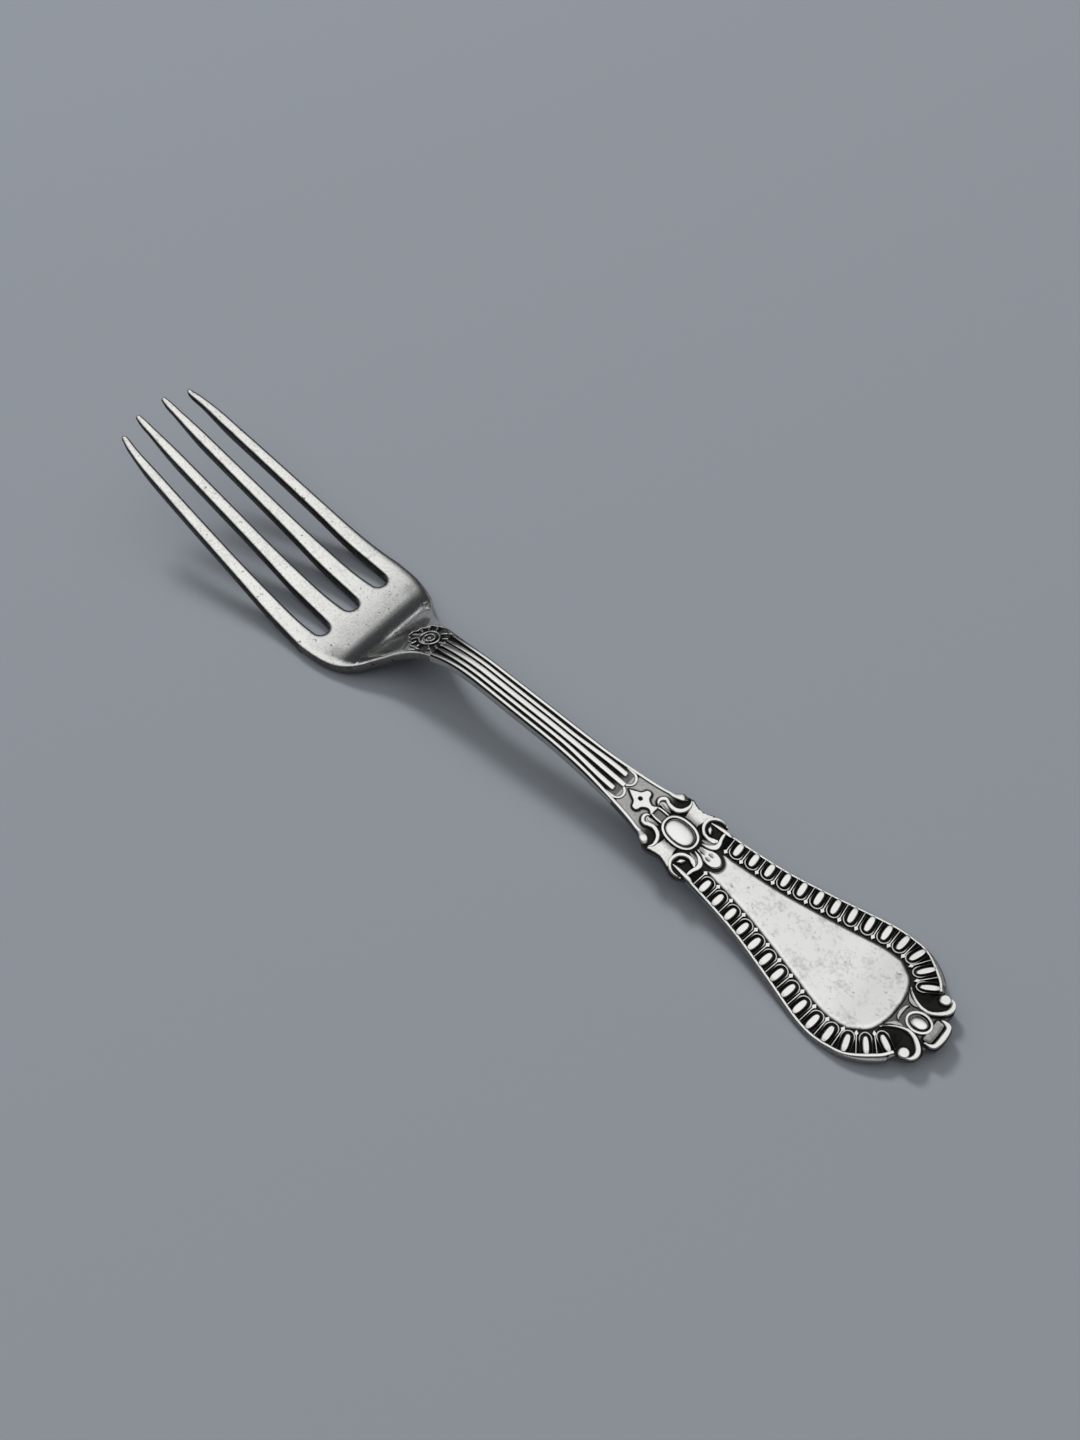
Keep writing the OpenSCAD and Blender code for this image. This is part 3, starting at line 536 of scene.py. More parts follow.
@dataclass
class Casting:
    """Closed solids that together make one piece."""

    name: str
    points: list[Array] = field(default_factory=list)
    faces: list[tuple[int, ...]] = field(default_factory=list)
    wear_and_shade: list[Array] = field(default_factory=list)
    count: int = 0

    @classmethod
    def of(cls, node: str) -> "Casting":
        """Starts the piece that stands for a node."""
        return cls(PREFIX + node)

    def add(
        self,
        plan: Plan,
        top: HeightRule,
        under: HeightRule,
        wear_and_shade: HeightRule,
        under_wear: HeightRule,
        step: float,
        insets: Sequence[float],
    ) -> None:
        """Adds a solid between an upper and a lower face.

        Args:
            plan: its outline.
            top: height of the upper face from plan point and edge distance.
            under: height of the lower face.
            wear_and_shade: tarnish, rubbing and painted shade of the upper face.
            under_wear: the same for the lower face.
            step: distance between points, mm.
            insets: distances from the edge at which rows of points follow it, mm.
        """
        flat, tri = plan.filled(step, insets)
        edge = plan.distance(flat)
        n = len(flat)
        self.points += [np.column_stack([flat, face(flat, edge)]) for face in (top, under)]
        self.wear_and_shade += [wear_and_shade(flat, edge), under_wear(flat, edge)]
        pairs = {(int(t[i]), int(t[i - 2])) for t in tri for i in range(3)}
        rim = [(a, b) for a, b in pairs if (b, a) not in pairs]
        base = self.count
        self.faces += [tuple(int(i) + base for i in t) for t in tri]
        self.faces += [tuple(int(i) + base + n for i in t[::-1]) for t in tri]
        self.faces += [(b + base, a + base, a + base + n, b + base + n) for a, b in sorted(rim)]
        self.count += 2 * n

    def cast(self) -> bpy.types.Object:
        """Makes the mesh.

        Returns:
            The object, at the origin, in metres.
        """
        mesh = bpy.data.meshes.new(self.name)
        mesh.from_pydata((np.vstack(self.points) * MM).tolist(), [], self.faces)
        worn_and_shaded = mesh.attributes.new("wear_and_shade", "FLOAT", "POINT")
        worn_and_shaded.data.foreach_set("value", np.concatenate(self.wear_and_shade).astype(np.float32))
        mesh.shade_smooth()
        mesh.set_sharp_from_angle(angle=SHARP_EDGE)
        return link(self.name, mesh)


def linear(code: str) -> tuple[float, float, float, float]:
    """Linear colour from an sRGB hex value.

    Args:
        code: the colour as #rrggbb.

    Returns:
        Red, green, blue and alpha for a shader socket.
    """
    parts = [int(code[i : i + 2], 16) / 255.0 for i in (1, 3, 5)]
    return tuple(c / 12.92 if c <= 0.04045 else ((c + 0.055) / 1.055) ** 2.4 for c in parts) + (1.0,)


def add(
    tree: bpy.types.NodeTree, kind: str, feeds: Optional[dict] = None, **settings: object
) -> bpy.types.Node:
    """Adds a node with its settings and links.

    Args:
        tree: the tree that gets the node.
        kind: the node's type.
        feeds: what goes into each input, a socket to link or a value to set.
        settings: the node's own properties.

    Returns:
        The node.
    """
    made = tree.nodes.new(kind)
    for key, value in settings.items():
        setattr(made, key, value)
    for key, source in (feeds or {}).items():
        if isinstance(source, Socket):
            tree.links.new(source, made.inputs[key])
        else:
            made.inputs[key].default_value = source
    return made


def grade(ramp: bpy.types.Node, levels: Sequence[tuple[float, str]]) -> None:
    """Sets the stops of a colour ramp.

    Args:
        ramp: the ramp's node.
        levels: place and sRGB hex colour of each stop, in order.
    """
    stops = ramp.color_ramp.elements
    for at, _ in levels[1:-1]:
        stops.new(at)
    for stop, (at, code) in zip(stops, levels):
        stop.position = at
        stop.color = linear(code)


@dataclass(frozen=True)
class OldSilver:
    """Sterling silver, struck, polished and then darkened by age.

    To the eye it is a warm white metal with a soft sheen where hands have rubbed it, and a
    brown-black film in the recesses where polish never reaches.
    """

    name: str
    black: str = "#121211"  # thick tarnish
    brown: str = "#383735"  # thin tarnish
    grey: str = "#868583"  # dulled metal
    white: str = "#dad8d3"  # rubbed metal
    dull: float = 0.58  # roughness of tarnish
    sheen: float = 0.26  # roughness of rubbed metal
    cloud_mm: float = 5.0  # size of the cloudy film's patches
    cloud: float = 0.16  # how much the film darkens
    speck_mm: float = 0.5  # size of small stains
    speck: float = 0.12  # how much they darken
    pit_mm: float = 0.9  # spacing of pits
    pit: float = 0.0  # how dark the pits are
    pit_span: Span = (0.64, 0.72)  # noise at which a pit starts and is full
    scratch_mm: float = 0.22  # spacing of fine scratches, drawn coarse enough to show
    scratch: float = 0.10  # how far scratches change the gloss
    scratch_long: float = 20.0  # how much longer a scratch is than wide
    grain: float = 0.25  # strength of the surface's unevenness
    grain_mm: float = 0.04  # its depth
    soft: float = 0.0  # roughness gained along the web
    soft_span: Span = (31.0, 38.0)  # where it is gained, mm along the fork
    stops: tuple[float, ...] = (0.0, 0.28, 0.6, 0.95)  # wear_and_shade value at which each of the four colours is full
    gloss_span: Span = (0.2, 0.9)  # wear_and_shade value at which the metal is dull and fully rubbed

    def material(self) -> bpy.types.Material:
        """Builds the shader.

        Returns:
            The material.
        """
        made = bpy.data.materials.new(self.name)
        made.use_nodes = True
        tree = made.node_tree
        tree.nodes.clear()
        place = add(tree, "ShaderNodeTexCoord").outputs["Object"]
        wear_and_shade = add(tree, "ShaderNodeAttribute", attribute_name="wear_and_shade").outputs["Fac"]
        feeds = {"Vector": place, "Scale": (1.0 / self.scratch_long, 1.0, 1.0)}
        along = add(tree, "ShaderNodeMapping", feeds).outputs["Vector"]
        patterns = []
        for size_mm, detail, vector in (
            (self.cloud_mm, 5.0, place),
            (self.speck_mm, 2.0, place),
            (self.scratch_mm, 2.0, along),
            (self.pit_mm, 3.0, place),
        ):
            feeds = {"Vector": vector, "Scale": 1.0 / (size_mm * MM), "Detail": detail, "Roughness": 0.6}
            patterns.append(add(tree, "ShaderNodeTexNoise", feeds).outputs["Fac"])
        cloud, speck, scratch, pits = patterns
        low, high = self.pit_span
        feeds = {"Value": pits, "From Min": low, "From Max": high, "To Min": 0.0, "To Max": self.pit}
        pitted = add(tree, "ShaderNodeMapRange", feeds).outputs["Result"]

        def swing(base: Socket, source: Socket, gain: float) -> Socket:
            """Adds a pattern's swing about its middle to a value.

            Args:
                base: the value.
                source: the pattern, 0 to 1.
                gain: how far it swings.

            Returns:
                The sum.
            """
            feeds = {0: source, 1: gain, 2: -0.5 * gain}
            scaled = add(tree, "ShaderNodeMath", feeds, operation="MULTIPLY_ADD").outputs[0]
            return add(tree, "ShaderNodeMath", {0: base, 1: scaled}, operation="ADD").outputs[0]

        worn_and_shaded = swing(swing(wear_and_shade, cloud, self.cloud), speck, self.speck)
        feeds = {0: worn_and_shaded, 1: pitted}
        worn_and_shaded = add(tree, "ShaderNodeMath", feeds, operation="SUBTRACT", use_clamp=True).outputs[0]
        # The value also carries painted shade, so this ramp darkens shaded walls and hollows as it darkens
        # tarnish.
        ramp = add(tree, "ShaderNodeValToRGB", {"Fac": worn_and_shaded})
        grade(ramp, list(zip(self.stops, (self.black, self.brown, self.grey, self.white))))
        low, high = self.gloss_span
        feeds = {"Value": worn_and_shaded, "From Min": low, "From Max": high, "To Min": self.dull, "To Max": self.sheen}
        rough = swing(add(tree, "ShaderNodeMapRange", feeds).outputs["Result"], scratch, self.scratch)
        if self.soft:
            along_fork = add(tree, "ShaderNodeSeparateXYZ", {0: place}).outputs["X"]
            low, high = self.soft_span
            feeds = {"Value": along_fork, "From Min": low * MM, "From Max": high * MM, "To Max": self.soft}
            gained = add(tree, "ShaderNodeMapRange", feeds, interpolation_type="SMOOTHSTEP").outputs["Result"]
            rough = add(tree, "ShaderNodeMath", {0: rough, 1: gained}, operation="ADD").outputs[0]
        uneven = swing(swing(speck, scratch, 0.5), pitted, -2.0)
        feeds = {"Height": uneven, "Strength": self.grain, "Distance": self.grain_mm * MM}
        bump = add(tree, "ShaderNodeBump", feeds).outputs["Normal"]
        feeds = {"Base Color": ramp.outputs["Color"], "Metallic": 1.0, "Roughness": rough, "Normal": bump}
        metal = add(tree, "ShaderNodeBsdfPrincipled", feeds)
        add(tree, "ShaderNodeOutputMaterial", {"Surface": metal.outputs["BSDF"]})
        return made


class Finishes:
    """The finishes of the fork, each made once."""

    def __init__(self) -> None:
        """Builds the materials."""
        # Rubbed smooth by use: bright and satin, with small pits and fine scratches along the tines.
        self.table = OldSilver("rubbed_silver_tines", sheen=0.25, pit=0.3, cloud=0.22, speck=0.36).material()
        # The web is as satin as the tines. The neck below it keeps its polish and mirrors soft shapes.
        self.neck = OldSilver(
            "polished_silver_neck", sheen=0.13, cloud=0.2, speck=0.34, pit=0.3, scratch=0.05, soft=0.12
        ).material()
        # Struck relief: bright crests, black in the folds.
        self.relief = OldSilver(
            "struck_silver_relief", sheen=0.22, cloud_mm=2.5, cloud=0.2, speck=0.2
        ).material()
        # Recessed ground: matt and dark, where tarnish stays.
        self.ground = OldSilver(
            "oxidised_silver_ground", sheen=0.4, dull=0.6, cloud_mm=3.0, speck=0.2
        ).material()
        # The plain field of the handle: satin, with a cloudy film left by old polish.
        self.field = OldSilver(
            "satin_silver_field", sheen=0.32, cloud=0.5, cloud_mm=3.2, speck=0.42, speck_mm=0.7, pit=0.2
        ).material()


def dress(piece: bpy.types.Object, node: str, slot: Slot, finish: Optional[bpy.types.Material]) -> None:
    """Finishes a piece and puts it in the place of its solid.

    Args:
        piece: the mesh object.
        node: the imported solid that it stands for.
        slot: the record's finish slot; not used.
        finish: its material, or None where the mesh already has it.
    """
    if finish is not None:
        piece.data.materials.append(finish)
    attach(piece, BODY)
    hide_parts(node)
    LOG.info("%s: %d faces", piece.name, len(piece.data.polygons))


def settle(piece: bpy.types.Object) -> None:
    """Turns what a node tree makes into the object's own plain mesh.

    Args:
        piece: the object that carries the tree.
    """
    graph = bpy.context.evaluated_depsgraph_get()
    mesh = bpy.data.meshes.new_from_object(piece.evaluated_get(graph))
    piece.modifiers.clear()
    piece.data = mesh
    mesh.shade_smooth()
    mesh.set_sharp_from_angle(angle=SHARP_EDGE)


def polyline(name: str, lines: Lines, values: dict[str, Array]) -> bpy.types.Object:
    """An object of plain lines that a node tree follows.

    Args:
        name: the object's name.
        lines: points in millimetres and whether each line is closed.
        values: named values for all the points.

    Returns:
        The object.
    """
    mesh = bpy.data.meshes.new(name)
    edges, base = [], 0
    for points, closed in lines:
        n = len(points)
        edges += [(base + i, base + i + 1) for i in range(n - 1)] + ([(base + n - 1, base)] if closed else [])
        base += n
    mesh.from_pydata((np.vstack([p for p, _ in lines]) * MM).tolist(), edges, [])
    for key, value in values.items():
        mesh.attributes.new(key, "FLOAT", "POINT").data.foreach_set("value", np.asarray(value, np.float32))
    return link(name, mesh)


def drop(*pieces: bpy.types.Object) -> None:
    """Removes guide objects that are not part of the fork."""
    for piece in pieces:
        bpy.data.objects.remove(piece, do_unlink=True)


class NodeTree:
    """A geometry node tree with named inputs."""

    def __init__(self, name: str, inputs: Sequence[tuple[str, str]]) -> None:
        """Starts the tree.

        Args:
            name: the tree's name.
            inputs: name and socket type of each input after the geometry.
        """
        self.tree = bpy.data.node_groups.new(name, "GeometryNodeTree")
        face = self.tree.interface
        face.new_socket("Geometry", in_out="INPUT", socket_type="NodeSocketGeometry")
        self.keys = {n: face.new_socket(n, in_out="INPUT", socket_type=t).identifier for n, t in inputs}
        face.new_socket("Geometry", in_out="OUTPUT", socket_type="NodeSocketGeometry")
        self.given = self.tree.nodes.new("NodeGroupInput").outputs

    def close(self, geometry: Socket) -> None:
        """Ends the tree in real meshes with their finish.

        Args:
            geometry: what the tree has made.
        """
        real = add(self.tree, "GeometryNodeRealizeInstances", {"Geometry": geometry}).outputs[0]
        feeds = {"Geometry": real, "Material": self.given["Finish"]}
        shown = add(self.tree, "GeometryNodeSetMaterial", feeds)
        add(self.tree, "NodeGroupOutput", {0: shown.outputs[0]})

    def apply(self, piece: bpy.types.Object, **values: object) -> None:
        """Runs the tree on an object.

        Args:
            piece: the object that holds the lines.
            values: value of each named input.
        """
        run = piece.modifiers.new(self.tree.name, "NODES")
        run.node_group = self.tree
        for key, value in values.items():
            run[self.keys[key]] = value
        settle(piece)


class Moulding(NodeTree):
    """Sweeps a moulded section along lines, as wide at each point as its "half" value says."""

    def __init__(self) -> None:
        """Builds the tree."""
        inputs = [("Section", "NodeSocketObject"), ("Finish", "NodeSocketMaterial")]
        super().__init__("swept_moulding", inputs)
        tree = self.tree
        line = add(tree, "GeometryNodeMeshToCurve", {"Mesh": self.given["Geometry"]})
        level = add(tree, "GeometryNodeSetCurveNormal", {"Curve": line.outputs[0]}, mode="Z_UP")
        section = add(tree, "GeometryNodeObjectInfo", {"Object": self.given["Section"]})
        shape = add(tree, "GeometryNodeMeshToCurve", {"Mesh": section.outputs["Geometry"]})
        half = add(tree, "GeometryNodeInputNamedAttribute", {"Name": "half"}, data_type="FLOAT")
        feeds = {
            "Curve": level.outputs[0],
            "Profile Curve": shape.outputs[0],
            "Scale": half.outputs[0],
            "Fill Caps": True,
        }
        self.close(add(tree, "GeometryNodeCurveToMesh", feeds).outputs[0])


class Repeat(NodeTree):
    """Repeats a motif along lines, turned as they say, and lays it on the ground."""

    def __init__(self) -> None:
        """Builds the tree."""
        super().__init__(
            "repeated_motif",
            [
                ("Motif", "NodeSocketObject"),
                ("Ground", "NodeSocketObject"),
                ("Count", "NodeSocketInt"),
                ("Finish", "NodeSocketMaterial"),
            ],
        )
        tree, given = self.tree, self.given
        line = add(tree, "GeometryNodeMeshToCurve", {"Mesh": given["Geometry"]})
        feeds = {"Curve": line.outputs[0], "Count": given["Count"]}
        spots = add(tree, "GeometryNodeCurveToPoints", feeds, mode="COUNT").outputs["Points"]
        angle, reach, width = (
            add(tree, "GeometryNodeInputNamedAttribute", {"Name": name}, data_type="FLOAT").outputs[0]
            for name in ("turn", "reach", "width")
        )
        spin = add(tree, "ShaderNodeCombineXYZ", {"Z": angle}).outputs[0]
        turn = add(tree, "FunctionNodeEulerToRotation", {0: spin}).outputs[0]
        size = add(tree, "ShaderNodeCombineXYZ", {"X": width, "Y": reach, "Z": 1.0}).outputs[0]
        motif = add(tree, "GeometryNodeObjectInfo", {"Object": given["Motif"]}).outputs["Geometry"]
        feeds = {"Points": spots, "Instance": motif, "Rotation": turn, "Scale": size}
        placed = add(tree, "GeometryNodeInstanceOnPoints", feeds).outputs[0]
        real = add(tree, "GeometryNodeRealizeInstances", {"Geometry": placed}).outputs[0]
        ground = add(tree, "GeometryNodeObjectInfo", {"Object": given["Ground"]}).outputs["Geometry"]
        high = 50.0 * MM  # above all of the fork, so that the ground is found from there
        here = add(tree, "GeometryNodeInputPosition").outputs[0]
        above = add(tree, "ShaderNodeVectorMath", {0: here, 1: (0.0, 0.0, high)}, operation="ADD").outputs[0]
        feeds = {
            "Target Geometry": ground,
            "Source Position": above,
            "Ray Direction": (0, 0, -1),
            "Ray Length": 2.0 * high,
        }
        hit = add(tree, "GeometryNodeRaycast", feeds).outputs["Hit Position"]
        height = add(tree, "ShaderNodeSeparateXYZ", {0: hit}).outputs["Z"]
        lift = add(tree, "ShaderNodeCombineXYZ", {"Z": height}).outputs[0]
        self.close(add(tree, "GeometryNodeSetPosition", {"Geometry": real, "Offset": lift}).outputs[0])

    def along(
        self,
        name: str,
        lines: Sequence[Array],
        motif: Casting,
        ground: bpy.types.Object,
        count: int,
        finish: bpy.types.Material,
    ) -> bpy.types.Object:
        """Makes a row of motifs.

        Args:
            name: the piece's name.
            lines: rows of x, y, reach, width and turn, in mm, as shares of the motif's size and in radians.
            motif: the motif, about the origin, its top towards +y.
            ground: the plate it lies on.
            count: motifs on each line.
            finish: its material.

        Returns:
            The piece.
        """
        pattern = motif.cast()
        paths = [(np.column_stack([p[:, :2], np.zeros(len(p))]), False) for p in lines]
        rows = np.vstack(lines)
        piece = polyline(name, paths, {"reach": rows[:, 2], "width": rows[:, 3], "turn": rows[:, 4]})
        self.apply(piece, Motif=pattern, Ground=ground, Count=count, Finish=finish)
        drop(pattern)
        return piece


@dataclass
class Relief:
    """Raised ornament on the plain metal."""

    form: Form
    lines: list[Array] = field(default_factory=list)  # where ornament stands, for the tarnish beside it

    def raise_form(
        self,
        piece: Casting,
        outline: Array,
        height: float,
        crest: float,
        crown: Crown = Crown.ROUND,
        step: float = 0.16,
        bright: float = 1.0,
        edge: float = 0.1,
        extra: Optional[HeightRule] = None,
        shade: Optional[HeightRule] = None,
        both: bool = True,
        flat_ground: bool = False,
    ) -> None:
        """Adds one raised form, and its twin on the other side.

        Args:
            piece: the piece that gets it.
            outline: its outline in plan, counter-clockwise, mm.
            height: its height above the ground, mm.
            crest: distance from the edge at which it reaches that height, mm.
            crown: how its top is shaped.
            step: distance between points, mm.
            bright: wear on its crest.
            edge: distance from the edge over which the dark foot, tarnish and painted shade, fades, mm.
            extra: height to add, from plan point and edge distance.
            shade: darkening to multiply in, from plan point and edge distance.
            both: whether the twin is made.
            flat_ground: whether it stands on a level sheet, as a motif does.
        """
        base = (lambda p: np.zeros(len(p))) if flat_ground else (lambda p: self.form.top(p[:, 0]))

        def top(p: Array, d: Array) -> Array:
            """Height of the raised face.

            Args:
                p: plan points, mm.
                d: distance of each from the edge, mm.

            Returns:
                The height of each, mm.
            """
            steep = 2.5  # how much sooner a flat crown reaches its height
            t = np.clip(d / crest, 0.0, 1.0)
            if crown is Crown.ROUND:
                rise = np.sqrt(1.0 - (1.0 - t) ** 2)
            elif crown is Crown.FLAT:
                rise = np.sqrt(1.0 - (1.0 - np.clip(t * steep, 0.0, 1.0)) ** 2)
            else:
                rise = 1.0 - (1.0 - t) ** 2
            more = extra(p, d) if extra else 0.0
            return base(p) + height * rise + more

        def under(p: Array, d: Array) -> Array:
            """Height of the hidden lower face."""
            return base(p) - SINK

        def wear_and_shade(p: Array, d: Array) -> Array:
            """Bright on the crest, dark at the foot with tarnish and painted shade."""
            return bright * ease(-0.3 * edge, edge, d) * (shade(p, d) if shade else 1.0)

        insets = [crest * share for share in (0.12, 0.4)]
        for shape in [outline, mirrored(outline)] if both else [outline]:
            plan = Plan(paced(shape, step, closed=True))
            piece.add(plan, top, under, wear_and_shade, lambda p, d: np.zeros(len(p)), step, insets)
            if not flat_ground:
                self.lines.append(plan.outline)

    def gap(self, points: Array) -> Array:
        """Distance from the nearest ornament.

        Args:
            points: plan points, mm.

        Returns:
            The distance of each, mm.
        """
        marks = np.vstack(self.lines)
        out = []
        for part in chunks(points):
            off = part[:, None, :] - marks[None]
            out.append(np.sqrt(np.min(np.sum(off**2, axis=2), axis=1)))
        return np.concatenate(out)


@dataclass
class Bench:
    """What every sub-assembly needs: the plain metal, its relief, the node trees and the finishes."""

    form: Form
    relief: Relief
    moulding: Moulding
    repeat: Repeat
    finishes: Finishes

    def finish(self, piece: Casting, slot: Slot = Slot.POLISHED) -> None:
        """Casts and dresses a piece of relief."""
        dress(piece.cast(), piece.name.removeprefix(PREFIX), slot, self.finishes.relief)

    def sweep(self, node: str, lines: Lines, rise: float, bright: float = 1.0) -> None:
        """Makes and dresses a moulding with a flat crown that lies on the ground.

        Args:
            node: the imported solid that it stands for.
            lines: rows of x, y and half width in mm, and whether each line is closed.
            rise: height of the section for each mm of half width.
            bright: wear at the crown.
        """
        name, square = PREFIX + node, 0.4  # 1 is a round section, and less is squarer
        least_half = 0.4  # half width from which the foot sinks in by the whole amount, mm
        turn = np.radians(np.linspace(0.0, 180.0, 13))
        x, y = np.cos(turn), np.sin(turn)
        x, y = np.sign(x) * np.abs(x) ** square, y**square
        foot = SINK / least_half
        wide = -np.concatenate([[1.0], x, [-1.0]])
        high = -np.concatenate([[-foot], rise * y, [-foot]])
        shade = np.concatenate([[0.0], bright * ease(0.0, 0.4, y), [0.0]])
        outline = np.column_stack([wide, high, np.zeros(len(wide))]) / MM
        section = polyline(name + "_section", [(outline, True)], {"wear_and_shade": shade})
        paths = [(np.column_stack([p[:, :2], self.form.top(p[:, 0])]), closed) for p, closed in lines]
        piece = polyline(name, paths, {"half": np.concatenate([p[:, 2] for p, _ in lines]) * MM})
        self.moulding.apply(piece, Section=section, Finish=self.finishes.relief)
        drop(section)
        dress(piece, node, Slot.POLISHED, None)


def across(x: float, half: float, step: float, insets: Sequence[float]) -> Array:
    """Points across the fork from -y to +y, close together near both edges.

    Args:
        x: place along the fork, mm.
        half: half width there, mm.
        step: distance between points in the middle, mm.
        insets: distances of the points near the edges from these, mm.

    Returns:
        The points, one row each.
    """
    near = np.array([0.0, *insets])
    count = max(int(2 * (half - near[-1]) / step), 2)
    middle = np.linspace(-half + near[-1], half - near[-1], count + 1)[1:-1]
    y = np.concatenate([near - half, middle, half - near[::-1]])
    return np.column_stack([np.full(len(y), x), y])


@dataclass
class Plate:
    """A stretch of plain metal between two places along the fork."""

    bench: Bench
    node: str
    slot: Slot
    step: float = 0.3  # distance between its points, mm
    insets: tuple[float, ...] = (0.04, 0.12, 0.22, 0.35, 0.6, 0.95)  # rows of points along its edges, mm
    edge_wear_and_shade: float = 0.4  # value at the very edge and on the side walls: tarnish, and painted shade where the walls mirror the shaded floor
    under_wear: float = 0.8  # wear of the back
    top_fade: float = 0.16  # how far the edge's value reaches in on top, mm
    back_fade: float = 0.7  # and on the back, mm

    def outline(self, start: float, stop: float) -> Array:
        """Outline of the stretch.

        Args:
            start: its handle end, mm.
            stop: its tine end, mm.

        Returns:
            The outline, counter-clockwise.
        """
        form = self.bench.form
        near = form.side(start, stop, self.step)
        first = across(start, float(form.half(start)), self.step, self.insets)
        last = across(stop, float(form.half(stop)), self.step, self.insets)
        return np.vstack([near[:-1] * [1.0, -1.0], last[:-1], near[:0:-1], first[:0:-1]])

    def make(
        self, outline: Array, joined: Sequence[float], wear_and_shade: HeightRule, finish: bpy.types.Material
    ) -> None:
        """Builds and dresses the plate.

        Args:
            outline: its outline, counter-clockwise, mm.
            joined: places where it meets its neighbours, mm.
            wear_and_shade: value of the upper face, from plan point and edge distance.
            finish: its material.
        """
        form = self.bench.form
        piece = Casting.of(self.node)

        def upper_wear_and_shade(p: Array, d: Array) -> Array:
            """The edge fades into the face."""
            fade = ease(0.0, self.top_fade, d)
            return self.edge_wear_and_shade * (1.0 - fade) + wear_and_shade(p, d) * fade

        def lower_wear_and_shade(p: Array, d: Array) -> Array:
            """The back is evenly rubbed; near the edge it takes the walls' painted shade."""
            return self.edge_wear_and_shade + (self.under_wear - self.edge_wear_and_shade) * ease(0.0, self.back_fade, d)

        plan = Plan(outline, joined)
        piece.add(plan, form.upper, form.lower, upper_wear_and_shade, lower_wear_and_shade, self.step, self.insets)
        dress(piece.cast(), self.node, self.slot, finish)


def ends(node: str) -> Span:
    """Lowest and highest place of a node along the fork, mm."""
    low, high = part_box(node)
    return low[0] / MM, high[0] / MM


